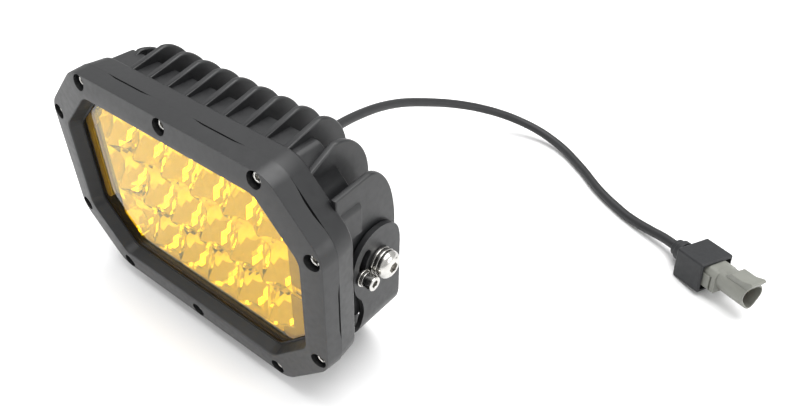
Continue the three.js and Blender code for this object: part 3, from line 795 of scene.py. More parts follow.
@dataclass
class Lead:
    """The jacketed lead, from its strain relief round to the connector."""

    radius: float = 3.8
    sides: int = 20
    steps: int = 8
    free_from: Vector = field(default_factory=lambda: Vector((0.0, 0.0657, 0.088)))
    free_to: Vector = field(default_factory=lambda: Vector((0.0, 0.150, 0.088)))
    route: tuple[Point3, ...] = (
        (0.0, 0.0657, 0.088), (-0.0003, 0.076, 0.0879), (-0.0025, 0.090, 0.0872), (-0.0063, 0.105, 0.0852),
        (-0.0105, 0.123, 0.0816), (-0.014, 0.148, 0.076), (-0.016, 0.173, 0.0695), (-0.016, 0.199, 0.0612),
        (-0.0125, 0.224, 0.052), (-0.0033, 0.256, 0.0398), (0.012, 0.283, 0.0286), (0.033, 0.3035, 0.018),
        (0.060, 0.312, 0.0102), (0.088, 0.3075, 0.0056), (0.1165, 0.2915, 0.0041), (0.143, 0.272, 0.0041),
        (0.167, 0.259, 0.0041), (0.182, 0.2526, 0.0047), (0.197, 0.2473, 0.0066), (0.210, 0.2429, 0.0087),
        (0.2218, 0.2373, 0.0105))

    def path(self) -> list[Vector]:
        """The route as one smooth line of close points."""
        held = [Vector(point) for point in self.route]
        ends = [2 * held[0] - held[1], *held, 2 * held[-1] - held[-2]]
        points = []
        for a, b, c, d in zip(ends, ends[1:], ends[2:], ends[3:]):
            for step in range(self.steps):
                t = step / self.steps
                points.append((2 * b + t * (c - a) + t * t * (2 * a - 5 * b + 4 * c - d)
                               + t**3 * (3 * b - a - 3 * c + d)) / 2)
        return [*points, held[-1]]

    def tube(self, path: list[Vector]) -> bmesh.types.BMesh:
        """Sweeps the jacket along the path, with a UV map in metres along and around it."""
        shape = bmesh.new()
        radius = self.radius * MM
        loops = []
        across = Vector((1.0, 0.0, 0.0))
        for index, point in enumerate(path):
            ahead = (path[min(index + 1, len(path) - 1)] - path[max(index - 1, 0)]).normalized()
            across = (across - ahead * across.dot(ahead)).normalized()
            upward = ahead.cross(across)
            angles = [2 * math.pi * side / self.sides for side in range(self.sides)]
            loops.append(edge_loop(shape, [
                point + radius * (math.cos(a) * across + math.sin(a) * upward) for a in angles]))
        for near, far in zip(loops, loops[1:]):
            bmesh.ops.bridge_loops(shape, edges=near + far)
        for end in (loops[0], loops[-1]):
            bmesh.ops.edgeloop_fill(shape, edges=end)
        bmesh.ops.recalc_face_normals(shape, faces=shape.faces)
        self.unwrap(shape, path)
        return shape

    def unwrap(self, shape: bmesh.types.BMesh, path: list[Vector]) -> None:
        """Writes the UV map: the distance along the lead, and the distance around it."""
        shape.verts.index_update()
        travelled = [0.0]
        for before, after in zip(path, path[1:]):
            travelled.append(travelled[-1] + (after - before).length)
        layer = shape.loops.layers.uv.new("along_lead")
        turn = 2 * math.pi * self.radius * MM
        for face in shape.faces:
            sides = [corner.vert.index % self.sides for corner in face.loops]
            wraps = max(sides) - min(sides) > self.sides / 2
            for corner, side in zip(face.loops, sides):
                around = side + self.sides if wraps and side < self.sides / 2 else side
                corner[layer].uv = (travelled[corner.vert.index // self.sides], turn * around / self.sides)

    def build(self, shop: Workshop) -> tuple[bpy.types.Object, list[Vector]]:
        """Makes the lead, which bends between the lamp and the part that stands still.

        Args:
            shop: The workshop.

        Returns:
            The lead and the path that it follows.
        """
        path = self.path()
        lead = shop.deliver("jacketed_lead", self.tube(path), Matrix.Identity(4), None, Slot.CABLE_SHEATH,
                            ["lead"])
        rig.blend(lead, Body.LAMP.value, Body.BRACKET.value, start=self.free_from, end=self.free_to)
        return lead, path


@dataclass
class Connector:
    """The sealed two-way connector in its overmoulded boot. X runs from the boot's back to the mouth."""

    seat: Vector = field(default_factory=lambda: Vector((44.0, 0.0, 15.5)))
    boot_length: float = 25.0
    boot_half_width: float = 14.5
    boot_height: float = 24.5
    axis_height: float = 12.5
    collar_radius: float = 6.4
    collar_ring_radius: float = 8.0
    latch_half_width: float = 6.6
    latch_profile: tuple[Point2, ...] = ((38, 22), (57, 22), (60.5, 27.6), (58.5, 28.6), (52, 26.4), (42, 26.4))
    rear_half: tuple[Corner, ...] = ((10.4, 4.5, 1.5), (10.4, 18.5, 1.5), (7.5, 22, 3.4))
    rail_flank: Span = (9.0, 11.6)
    mouth: float = 57.0
    mouth_start: float = 31.0
    wall: float = 1.7

    def matrix(self) -> Matrix:
        """The matrix from the connector's drawing to the row frame, from the seat that the record states."""
        stated = next(mount for mount in frame["record"]["mounts"] if mount["name"] == "plug_seat")
        ahead = Vector(stated["axis"]).normalized()
        level = Vector((0.0, 0.0, 1.0)).cross(ahead).normalized()
        turn = Matrix((ahead, level, ahead.cross(level))).transposed().to_4x4()
        placed = Matrix.Translation(Vector(stated["pos_m"])) @ turn
        return placed @ Matrix.Scale(MM, 4) @ Matrix.Translation(-self.seat)

    def boot(self) -> bmesh.types.BMesh:
        """The square overmould with its stepped collar and the recess round the housing."""
        half = self.boot_half_width
        body = bevelled(block((0, self.boot_length), (-half, half), (0, self.boot_height)), 1.6, 4)
        lip = bevelled(block((17.6, 27), (-12.4, 12.4), (2.4, 22.4)), 1.4, 3)
        step = rod(Axis.X, (0, self.axis_height), self.collar_radius, (-13.4, 1))
        ring = bevelled(rod(Axis.X, (0, self.axis_height), self.collar_ring_radius, (-9.5, -4.5)), 0.9)
        return Workpiece(body).worked(Cut.REMOVE, lip).worked(Cut.JOIN, bevelled(step, 0.7), ring).shape()

    def mouth_outline(self, inset: float) -> Outline:
        """The rounded three-sided section, point down."""
        half = (12.6 - inset) * 1.28
        top = 23.6 - inset
        low = 0.3 + 1.6 * inset
        return rounded([(-half, top, 7.4 - inset), (0, low, 5.4 - inset), (half, top, 7.4 - inset)], 8)

    def housing(self) -> bmesh.types.BMesh:
        """The grey shell with its rear block, side rails and flared latch."""
        outline = self.mouth_outline
        shell = loft(Axis.X, [(outline(0.5), self.mouth_start), (outline(0.0), self.mouth_start + 0.6),
                              (outline(0.0), self.mouth - 0.4), (outline(0.25), self.mouth)])
        left = [(-y, z, radius) for y, z, radius in self.rear_half]
        section = rounded([left[0], *self.rear_half, *reversed(left[1:])], 5)
        rear = prism(section, Axis.X, (17.9, self.mouth_start + 3))
        inner, outer = self.rail_flank
        rails = [bevelled(block((17.9, 30), side, (6.2, 16.8)), 0.6)
                 for side in ((-outer, -inner), (inner, outer))]
        latch = prism(self.latch_profile, Axis.Y, (-self.latch_half_width, self.latch_half_width))
        hollow = loft(Axis.X, [(outline(self.wall), 36.0), (outline(self.wall), self.mouth - 0.6),
                               (outline(self.wall - 0.5), self.mouth + 1)])
        slots = [block((30.0, 30.8), side, (4, 17)) for side in ((-13, -9.2), (9.2, 13))]
        work = Workpiece(shell).worked(Cut.JOIN, bevelled(rear, 0.5), *rails, bevelled(latch, 0.7))
        return work.worked(Cut.REMOVE, hollow, *slots).shape()

    def build(self, shop: Workshop) -> list[bpy.types.Object]:
        """Makes the connector's pieces and finishes the CAD nodes in its mouth.

        Args:
            shop: The workshop.

        Returns:
            Every piece of the connector.
        """
        matrix = self.matrix()
        boot = shop.deliver("boot_overmould", self.boot(), matrix, Body.BRACKET, Slot.BOOT_BLACK,
                            ["connector_boot"])
        housing = shop.deliver("connector_shell", self.housing(), matrix, Body.BRACKET, Slot.CONNECTOR_GREY,
                               ["connector_housing"])
        shop.refinish("wedge_lock", Slot.WEDGE_ORANGE)
        pins = ["contact_pin_1", "contact_pin_2"]
        for pin in pins:
            shop.refinish(pin, Slot.PIN_METAL)
        return [boot, housing, *[frame["nodes"][name] for name in ("wedge_lock", *pins)]]


# ---------------------------------------------------------------- hardware (axis Y, head towards -Y, seat at 0)


@dataclass(frozen=True)
class SocketScrew:
    """A cap screw with a hexagon socket."""

    head_radius: float
    head_height: float
    socket: float
    shank_radius: float
    length: float

    def shape(self) -> bmesh.types.BMesh:
        """The screw's body."""
        edge = 0.1 * self.head_radius
        r, h = self.head_radius, self.head_height
        body = turned([(0, -h), (r - 1.6 * edge, -h), (r - 0.5 * edge, -h + 0.4 * edge), (r, -h + 1.4 * edge),
                       (r, -0.4 * edge), (r - 0.4 * edge, 0), (self.shank_radius, 0),
                       (self.shank_radius, self.length - 0.5), (self.shank_radius - 0.5, self.length),
                       (0, self.length)])
        recess = prism(hexagon(self.socket), Axis.Y, (-h - 1, -0.45 * h))
        rim = loft(Axis.Y, [(hexagon(self.socket * 1.35), -h - 0.3), (hexagon(self.socket * 0.98), -h + 0.35)])
        return Workpiece(body).worked(Cut.REMOVE, recess, rim).shape()


@dataclass(frozen=True)
class ButtonBolt:
    """A bolt with a low domed head and a hexagon socket."""

    head_radius: float = 8.75
    head_height: float = 5.5
    socket: float = 6.0
    shank_radius: float = 4.95
    length: float = 24.0

    def shape(self) -> bmesh.types.BMesh:
        """The bolt's body."""
        flat = 0.56 * self.socket
        rise = self.head_height - 1.0
        dome = []
        for step in range(13):
            turn = step / 12 * math.pi / 2
            dome.append((flat + (self.head_radius - flat) * math.sin(turn),
                         -self.head_height + rise * (1 - math.cos(turn))))
        body = turned([(0, -self.head_height), *dome, (self.head_radius, -0.3), (self.head_radius - 0.3, 0),
                       (self.shank_radius, 0), (self.shank_radius, self.length), (0, self.length)], 64)
        recess = prism(hexagon(self.socket), Axis.Y, (-self.head_height - 1, -0.4 * self.head_height))
        return Workpiece(body).worked(Cut.REMOVE, recess).shape()


@dataclass(frozen=True)
class Washer:
    """A flat or split spring washer."""

    outer: float
    bore: float
    thickness: float
    split: float = 0.0
    slant: float = 28.0

    def shape(self) -> bmesh.types.BMesh:
        """The washer's body."""
        edge = 0.15 * self.thickness
        o, b, t = self.outer, self.bore, self.thickness
        ring = turned([(b, edge), (b + edge, 0), (o - edge, 0), (o, edge), (o, t - edge), (o - edge, t),
                       (b + edge, t), (b, t - edge)])
        if self.split <= 0.0:
            return ring
        slit = block((0, o + 1), (-1, t + 1), (-self.split / 2, self.split / 2))
        lean = Matrix.Rotation(math.radians(self.slant), 3, "X")
        bmesh.ops.rotate(slit, cent=(o, t / 2, 0), matrix=lean, verts=slit.verts)
        return Workpiece(ring).worked(Cut.REMOVE, slit).shape()


# ---------------------------------------------------------------- the lamp's drawing


@dataclass(frozen=True)
class LampDrawing:
    """Sizes that the lamp's pieces share. Its origin is the middle of the bezel's face, with Y to the rear."""

    rim: Octagon = Octagon(117.2, 77.6, 34.8, 19.5)
    face: Octagon = Octagon(116.6, 76.7, 34.6, 19.0)
    flange_rear: Octagon = Octagon(115.6, 77.3, 34.8, 19.0)
    opening: Octagon = Octagon(101.2, 61.6, 29.0, 11.0)
    lens_edge: Octagon = Octagon(98.6, 59.0, 27.5, 9.0)
    lens_plate: Octagon = Octagon(104.0, 64.4, 30.0, 9.0)
    cavity: Octagon = Octagon(99.5, 60.0, 28.0, 8.0)
    body: Octagon = Octagon(107.4, 75.2, 28.5, 5.0)
    driver_block: Octagon = Octagon(84.0, 44.0, 14.0, 4.0)
    driver_cavity: Octagon = Octagon(60.0, 32.0, 5.0, 2.0)
    array: Octagon = Octagon(84.6, 53.8, 15.0, 4.0)
    depth: float = 73.7
    lens_front: float = 8.4
    lens_thickness: float = 3.8
    bezel_depth: float = 12.3
    flange_back: float = 26.5
    cavity_floor: float = 35.0
    body_back: float = 43.0
    driver_back: float = 57.0
    array_front: float = 14.7
    array_back: float = 31.8
    pivot: Point2 = (53.6, 2.0)
    lock_radius: float = 14.8
    lock_angle: float = -11.5
    arm_outer: float = 110.0
    plate: float = 3.3
    screw_depth: float = 7.5
    screw_places: tuple[Point2, ...] = (
        (-73.8, 71.2), (0, 71.2), (73.8, 71.2), (110, 37.4), (110, -37.4),
        (73.8, -71.2), (0, -71.2), (-73.8, -71.2), (-110, -37.4), (-110, 37.4))

    def matrix(self) -> Matrix:
        """The matrix from the lamp's drawing to the row frame, from the bezel's place in it."""
        low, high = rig.box("bezel")
        middle = Vector((0.0, low.y, (low.z + high.z) / 2))
        return Matrix.Translation(middle) @ Matrix.Scale(MM, 4)

    def lock_place(self, degrees: float) -> Point2:
        """A point on the lock's circle, at an angle above the level line to the front."""
        angle = math.radians(degrees)
        return (self.pivot[0] - self.lock_radius * math.cos(angle),
                self.pivot[1] + self.lock_radius * math.sin(angle))


def ordered(a: float, b: float) -> Span:
    """Two numbers, the lower one first."""
    return (a, b) if a < b else (b, a)


# ---------------------------------------------------------------- front of the lamp


@dataclass
class Front:
    """Bezel, lens and seals."""

    drawing: LampDrawing
    bore_radius: float = 5.1
    slot_depth: float = 2.6
    slot_width: float = 1.1
    slot_taper: float = 9.0
    back: float = 12.58
    slot_spans: tuple[Span, ...] = ((-60, -18), (15, 57))
    flank_slot: Span = (-20, 25)
    corner_slot: Span = (-13, 13)

    def bezel(self) -> bmesh.types.BMesh:
        """The octagonal ring, with its window, its lens seat, its screw bores and its prying slots."""
        d = self.drawing
        shell = loft(Axis.Y, [
            (d.opening.grown(3.0).outline(8), 0.0), (d.face.grown(-0.7).outline(8), 1.4),
            (d.face.grown(-0.2).outline(8), 1.55), (d.face.outline(8), 2.1), (d.rim.outline(8), self.back)])
        window = loft(Axis.Y, [
            (d.opening.grown(2.2).outline(), -1.0), (d.opening.grown(0.9).outline(), 0.0),
            (d.opening.grown(0.25).outline(), 0.3), (d.opening.outline(), 0.95),
            (d.lens_edge.outline(), d.lens_front - GAP), (d.lens_edge.outline(), d.lens_front + 1)])
        seat = prism(d.lens_plate.grown(GAP).outline(), Axis.Y, (d.lens_front - GAP, d.bezel_depth + 1))
        work = Workpiece(shell).worked(Cut.REMOVE, window, seat, gathered(self.bores()), gathered(self.slots()))
        return work.shape()

    def bores(self) -> list[bmesh.types.BMesh]:
        """The stepped screw bores with softened mouths."""
        d = self.drawing
        r = self.bore_radius
        profile = [(0, -1), (r + 0.5, -1), (r + 0.5, 0), (r + 0.15, 0.15), (r, 0.5), (r, d.screw_depth),
                   (2.35, d.screw_depth), (2.35, d.bezel_depth + 1), (0, d.bezel_depth + 1)]
        bores = []
        for x, z in d.screw_places:
            bore = turned(profile, 40)
            bmesh.ops.translate(bore, vec=(x, 0, z), verts=bore.verts)
            bores.append(bore)
        return bores

    def slots(self) -> list[bmesh.types.BMesh]:
        """The prying slots in the joint with the housing: on both long sides, both flanks and all corners."""
        d = self.drawing
        corner_x = d.rim.half_width - d.rim.chamfer / 2
        corner_z = d.rim.half_height - d.rim.chamfer / 2
        slots = []
        for turn in (0, 180):
            slots += [self.slot(span, Vector((0, 0, d.rim.half_height)), turn, 0) for span in self.slot_spans]
            slots.append(self.slot(self.flank_slot, Vector((d.rim.half_width, 0, 0)), turn, 90))
            slots.append(self.slot(self.corner_slot, Vector((corner_x, 0, corner_z)), turn, 45))
            slots.append(self.slot(self.corner_slot, Vector((-corner_x, 0, corner_z)), turn, -45))
        return slots

    def slot(self, span: Span, edge: Vector, turn: float, lean: float) -> bmesh.types.BMesh:
        """One slot with tapered ends.

        Args:
            span: Where it starts and ends along its side.
            edge: The point of the side that the span is measured from.
            turn: The side's turn about the lamp's axis, in degrees.
            lean: The side's direction, in degrees from level.

        Returns:
            The solid to take out.
        """
        start, end = span
        front, back = self.back - self.slot_width, self.back + 0.5
        outline = [(start, back), (start, self.back), (start + self.slot_taper, front),
                   (end - self.slot_taper, front), (end, self.back), (end, back)]
        blade = prism(outline, Axis.Z, (-self.slot_depth, 1.0))
        about, tilt = (Matrix.Rotation(math.radians(angle), 4, "Y") for angle in (turn, lean))
        bmesh.ops.transform(blade, matrix=about @ Matrix.Translation(edge) @ tilt, verts=blade.verts)
        return blade

    def lens(self) -> bmesh.types.BMesh:
        """The flat pane."""
        d = self.drawing
        span = (d.lens_front, d.lens_front + d.lens_thickness)
        return bevelled(prism(d.lens_plate.outline(), Axis.Y, span), 0.5)

    def bead(self) -> bmesh.types.BMesh:
        """The bead of sealant where the pane meets the bezel."""
        d = self.drawing
        ring = prism(d.lens_edge.grown(0.15).outline(), Axis.Y, (d.lens_front - 0.9, d.lens_front - 0.05))
        inner = prism(d.lens_edge.grown(-1.1).outline(), Axis.Y, (0, d.lens_front + 1))
        return Workpiece(ring).worked(Cut.REMOVE, inner).shape()

    def build(self, shop: Workshop) -> None:
        """Makes the pieces."""
        place = self.drawing.matrix()
        shop.deliver("bezel_ring", self.bezel(), place, Body.LAMP, Slot.LAMP_COAT, ["bezel"])
        shop.deliver("amber_pane", self.lens(), place, Body.LAMP, Slot.AMBER_LENS, ["lens"])
        shop.deliver("pane_bead", self.bead(), place, Body.LAMP, Slot.SEAL_RUBBER)
        shop.refinish("lens_gasket", Slot.SEAL_RUBBER)


# ---------------------------------------------------------------- optics


@dataclass
class Optics:
    """Reflector array, its panels, and the boards behind."""

    drawing: LampDrawing
    columns: int = 6
    rows: int = 3
    pitch: Point2 = (27.9, 35.4)
    throat: float = 4.6
    rays: int = 16
    rings: int = 5
    wall: float = 1.2
    panel_span: Span = (12.7, 13.3)
    panel_corners: tuple[tuple[Corner, ...], ...] = (
        ((82.5, -2.0, 0.8), (97.5, -2.0, 0.8), (97.5, 31.5, 2.0), (85.0, 44.0, 1.5), (82.5, 40.0, 3.0)),
        ((81.5, -10.0, 0.8), (97.5, -10.0, 0.8), (97.5, -31.5, 2.0), (79.0, -50.0, 1.5), (72.5, -50.0, 3.0),
         (72.5, -43.5, 2.5), (81.5, -39.0, 2.0)),
        ((-97.5, -31.5, 2.0), (-97.5, 31.5, 2.0), (-93.0, 40.0, 1.5), (-86.0, 42.5, 3.0), (-86.0, 34.0, 3.0),
         (-92.5, 27.0, 2.0), (-92.5, -27.0, 2.0)))
    piping_reach: float = 0.8
    emitter_half: float = 1.8

    def cup_places(self) -> list[Point2]:
        """The middles of the cups."""
        return [((column - (self.columns - 1) / 2) * self.pitch[0], (row - (self.rows - 1) / 2) * self.pitch[1])
                for column in range(self.columns) for row in range(self.rows)]

    def cup_depth(self, radius: float) -> float:
        """Where a cup's bowl lies at a distance from its axis."""
        d = self.drawing
        reach = math.hypot(*self.pitch) / 2
        share = (radius**2 - self.throat**2) / (reach**2 - self.throat**2)
        floor = d.array_back - 1.0
        return floor - (floor - d.array_front) * share**0.8

    def cell(self, place: Point2) -> bmesh.types.BMesh:
        """One bowl, cut off square at the edges of its cell, with a lattice of pointed facets."""
        shape = bmesh.new()
        half_x, half_z = self.pitch[0] / 2, self.pitch[1] / 2
        corner = math.atan2(half_z, half_x)
        angles = self.facet_angles(corner)
        loops = []
        for ring in range(self.rings + 1):
            points = []
            turned_by = 0.5 if (self.rings - ring) % 2 else 0.0
            following = [*angles[1:], angles[0] + 2 * math.pi]
            for angle in (a + (b - a) * turned_by for a, b in zip(angles, following)):
                edge = min(half_x / max(abs(math.cos(angle)), 1e-9), half_z / max(abs(math.sin(angle)), 1e-9))
                radius = self.throat + (edge - self.throat) * ring / self.rings
                points.append(Vector((place[0] + radius * math.cos(angle), self.cup_depth(radius),
                                      place[1] + radius * math.sin(angle))))
            loops.append(edge_loop(shape, points))
        for near, far in zip(loops, loops[1:]):
            bmesh.ops.bridge_loops(shape, edges=near + far)
        bmesh.ops.triangulate(shape, faces=shape.faces, quad_method="SHORT_EDGE")
        bmesh.ops.edgeloop_fill(shape, edges=loops[0])
        return shape

    def facet_angles(self, corner: float) -> list[float]:
        """The directions of the facets' edges, alike in all four quarters and with one in each corner."""
        half = self.rays // 8
        quarter = [corner * step / half for step in range(half + 1)]
        quarter += [corner + (math.pi / 2 - corner) * step / half for step in range(1, half + 1)]
        angles = quarter + [math.pi - a for a in reversed(quarter[:-1])]
        angles += [math.pi + a for a in quarter[1:]]
        return angles + [2 * math.pi - a for a in reversed(quarter[1:-1])]

    def array(self) -> bmesh.types.BMesh:
        """The bowls joined edge to edge in one moulding."""
        d = self.drawing
        sheet = gathered([self.cell(place) for place in self.cup_places()])
        bmesh.ops.remove_doubles(sheet, verts=sheet.verts, dist=0.01)
        border = [edge for edge in sheet.edges if edge.is_boundary]
        pushed = bmesh.ops.extrude_edge_only(sheet, edges=border)["geom"]
        skirt = [v for v in pushed if isinstance(v, bmesh.types.BMVert)]
        for vert in skirt:
            vert.co.y = d.array_back
        bmesh.ops.edgeloop_fill(sheet, edges=[e for e in sheet.edges if e.is_boundary])
        bmesh.ops.recalc_face_normals(sheet, faces=sheet.faces)
        rim = Workpiece(prism(d.array.outline(), Axis.Y, (d.array_front, d.array_back)))
        rim.worked(Cut.REMOVE, prism(d.array.grown(-self.wall).outline(), Axis.Y, (0, d.array_back + 1)))
        throats = [rod(Axis.Y, place, self.throat - 0.3, (d.array_front, d.array_back + 1), 24)
                   for place in self.cup_places()]
        work = Workpiece(sheet).worked(Cut.KEEP, prism(d.array.outline(), Axis.Y, (0, d.array_back + 1)))
        return work.worked(Cut.JOIN, rim.shape()).worked(Cut.REMOVE, gathered(throats)).shape()

    def tray(self) -> bmesh.types.BMesh:
        """The bright frame that fills the space round the array."""
        d = self.drawing
        plate = Workpiece(prism(d.cavity.grown(-GAP).outline(), Axis.Y, (d.array_front, d.array_front + 2)))
        return plate.worked(Cut.REMOVE, prism(d.array.grown(GAP).outline(), Axis.Y, (0, d.depth))).shape()

    def panels(self) -> bmesh.types.BMesh:
        """The matte panels on the frame, left and right of the array."""
        return gathered([bevelled(prism(rounded(corners, 5), Axis.Y, self.panel_span), 0.15, 2)
                         for corners in self.panel_corners])

    def piping(self) -> bmesh.types.BMesh:
        """The bright plates behind the panels, a little wider, so that a line of them shows all round."""
        lines = []
        for corners in self.panel_corners:
            middle = Vector((sum(c[0] for c in corners), sum(c[1] for c in corners))) / len(corners)
            outline = rounded(corners, 5)
            outer = [tuple(Vector(p) + (Vector(p) - middle).normalized() * self.piping_reach) for p in outline]
            lines.append(prism(outer, Axis.Y, (self.panel_span[1] + 0.1, self.panel_span[1] + 0.9)))
        return gathered(lines)

    def emitters(self) -> bmesh.types.BMesh:
        """The emitters' phosphor squares."""
        d = self.drawing
        front, half = d.array_back - 0.9, self.emitter_half
        squares = []
        for x, z in self.cup_places():
            square = block((x - half, x + half), (front - 0.5, front), (z - half, z + half))
            squares.append(bevelled(square, 0.25, 2))
        return gathered(squares)

    def build(self, shop: Workshop) -> None:
        """Makes the pieces."""
        place = self.drawing.matrix()
        shop.deliver("faceted_reflector", self.array(), place, Body.LAMP, Slot.REFLECTOR, ["reflector_array"],
                     flat=True)
        shop.deliver("bright_tray", self.tray(), place, Body.LAMP, Slot.REFLECTOR, ["trim_frame"])
        shop.deliver("matte_panels", self.panels(), place, Body.LAMP, Slot.INNER_TRIM)
        shop.deliver("panel_piping", self.piping(), place, Body.LAMP, Slot.BOARD_WHITE)
        emitters = shop.deliver("emitters", self.emitters(), place, Body.LAMP, Slot.BOARD_WHITE)
        emitters.data.materials[0] = EMITTER_FINISH.material()
        shop.refinish("led_board", Slot.BOARD_WHITE)
        shop.refinish("driver_board", Slot.DRIVER_GREEN)


# ---------------------------------------------------------------- housing


@dataclass(frozen=True)
class FinFamily:
    """Fins of one outline. places counts pitches from the middle."""

    places: tuple[float, ...]
    front: float
    peak: Point2
    rear: Point2
    trim: float = 0.0


@dataclass
class Housing:
    """The finned casting, with what is screwed into its back."""

    drawing: LampDrawing
    pitch: float = 15.95
    thickness: float = 4.0
    rounding: float = 1.1
    families: tuple[FinFamily, ...] = (
        FinFamily((-3.5, -2.5, -1.5, -0.5, 0.5, 1.5, 2.5, 3.5, 4.5), 77.0, (48.8, 82.5), (70.0, 52.0)),
        FinFamily((-4.5, 5.5), 68.8, (42.7, 77.2), (69.5, 45.0), 62.0),
        FinFamily((-5.5, 6.5), 59.0, (50.6, 61.0), (73.7, 14.0), 38.0),
        FinFamily((-6.5,), 50.0, (52.0, 51.0), (73.7, 12.0), 38.0))
    swing_limit: float = 140.0
    boss_radius: float = 11.0
    lock_boss_radius: float = 6.0
    gland_flats: float = 16.0
    relief_length: float = 29.6
    relief_radii: Span = (5.9, 4.3)
    relief_collar: float = 5.6
    relief_rings: int = 7
    relief_ring_pitch: float = 3.1
    vent_notches: int = 8

    def fin_outline(self, family: FinFamily) -> Outline:
        """A fin seen from the side: straight shoulders and a round back, alike above and below."""
        (peak_y, peak_z), (rear_y, rear_z) = family.peak, family.rear
        shoulder_y = peak_y + (rear_y - peak_y) * 0.53
        shoulder_z = rear_z + (peak_z - rear_z) * 0.59
        root = self.drawing.flange_back - 2
        lower = [(root, -family.front), (peak_y, -peak_z),
                 *bezier((peak_y, -peak_z), (shoulder_y, -peak_z), (rear_y, -shoulder_z), (rear_y, -rear_z))]
        return lower + [(y, -z) for y, z in reversed(lower)]

    def fin(self, family: FinFamily, middle: float) -> bmesh.types.BMesh:
        """One fin with rounded edges, cut back below where the bracket swings past."""
        half = self.thickness / 2
        plate = prism(self.fin_outline(family), Axis.X, (middle - half, middle + half))

        def along_outline(edge: bmesh.types.BMEdge) -> bool:
            """Whether an edge runs round one of the fin's faces."""
            return abs(edge.verts[0].co.x - edge.verts[1].co.x) < SAME

        flank = bevelled(plate, self.rounding, 3, along_outline)
        if family.trim <= 0.0:
            return flank
        py, pz = self.drawing.pivot
        span = (middle - self.thickness, middle + self.thickness)
        low = rod(Axis.X, (py, pz), family.trim, span, 96)
        far = 2 * self.drawing.depth
        keep = Workpiece(low).worked(Cut.JOIN, block(span, (0, far), (pz, far)))
        return Workpiece(flank).worked(Cut.KEEP, keep.shape()).shape()

    def fins(self) -> bmesh.types.BMesh:
        """All the fins."""
        return gathered([self.fin(family, place * self.pitch)
                         for family in self.families for place in family.places])

    def bosses(self) -> bmesh.types.BMesh:
        """The pivot and lock bosses on both flanks."""
        d = self.drawing
        made = []
        for side in (-1, 1):
            span = ordered(side * (5.5 * self.pitch - 1), side * (d.arm_outer - d.plate - GAP))
            pivot = Workpiece(bevelled(rod(Axis.X, d.pivot, self.boss_radius, span, 56), 0.5))
            lock = rod(Axis.X, d.lock_place(d.lock_angle), self.lock_boss_radius, span, 40)
            made.append(pivot.worked(Cut.JOIN, bevelled(lock, 0.5)).shape())
        return gathered(made)

    def cutters(self) -> list[bmesh.types.BMesh]:
        """What is taken out of the casting."""
        d = self.drawing
        lock = d.lock_place(d.lock_angle)
        reach, low = d.body.half_width + 10, -100.0
        cutters = [
            prism(d.cavity.outline(), Axis.Y, (0, d.cavity_floor)),
            prism(d.lens_plate.grown(0.8).outline(), Axis.Y, (0, 14.4)),
            prism(d.driver_cavity.outline(), Axis.Y, (d.cavity_floor - 1, d.driver_back - 5)),
            rod(Axis.Y, (0, 0), 6.1, (d.cavity_floor, d.driver_back + 3)),
            rod(Axis.Y, (0, 0), 15.0, (d.driver_back + 2, d.depth + 1), 64),
            rod(Axis.Y, (2 * self.pitch, 0), 3.1, (d.driver_back - 6, d.driver_back + 1), 24),
            gathered([rod(Axis.Y, place, 2.3, (0, d.flange_back - 3), 16) for place in d.screw_places]),
        ]
        for side in (-1, 1):
            corner = [(side * reach, reach - self.swing_limit), (side * (self.swing_limit + low), low),
                      (side * reach, low)]
            cutters.append(prism(corner, Axis.Y, (d.flange_back + 2, d.body_back + 1)))
            flank = ordered(side * (6.5 * self.pitch + self.thickness / 2), side * (d.body.half_width + 2))
            cutters.append(block(flank, (d.flange_back + 0.2, d.body_back + 1), (-90, 29)))
            span = ordered(side * 90, side * d.arm_outer)
            cutters.append(rod(Axis.X, d.pivot, 5.3, span))
            cutters.append(rod(Axis.X, lock, 2.8, span, 24))
        return cutters

    def casting(self) -> bmesh.types.BMesh:
        """The whole casting in one body."""
        d = self.drawing
        start = d.bezel_depth + GAP
        flange = loft(Axis.Y, [
            (d.rim.grown(-0.5).outline(), start), (d.rim.grown(-0.2).outline(), start + 0.3),
            (d.flange_rear.outline(), d.flange_back - 1.8),
            (d.flange_rear.grown(-0.5).outline(), d.flange_back - 0.6),
            (d.flange_rear.grown(-1.6).outline(), d.flange_back)])

        def rear(edge: bmesh.types.BMEdge) -> bool:
            """Whether an edge lies behind the flange."""
            return min(v.co.y for v in edge.verts) > d.flange_back

        solids = ((d.body, (d.flange_back - 3, d.body_back)),
                  (d.driver_block, (d.body_back - 2, d.driver_back)))
        body, driver = (bevelled(prism(solid.outline(4), Axis.Y, span), 1.0, 3, rear) for solid, span in solids)
        seat = rod(Axis.Y, (0, 0), 13, (d.driver_back - 1, d.driver_back + 2), 56)
        work = Workpiece(flange).worked(Cut.JOIN, body, driver, self.fins(), self.bosses(), seat)
        return work.worked(Cut.REMOVE, *self.cutters()).shape()

    def gland(self) -> bmesh.types.BMesh:
        """The cable gland: a threaded stem, a hexagon and a domed nut."""
        nut = bevelled(prism(hexagon(self.gland_flats), Axis.Y, (0, 5)), 0.5)
        stem = turned([(0, -7), (5.6, -7), (5.8, -6.6), (5.8, 0.5), (0, 0.5)])
        dome = turned([(0, 4.5), (7.9, 4.5), (7.9, 8.6), (7.6, 10.4), (6.9, 12.2), (6.2, 13), (0, 13)])
        return Workpiece(nut).worked(Cut.JOIN, stem, dome).shape()

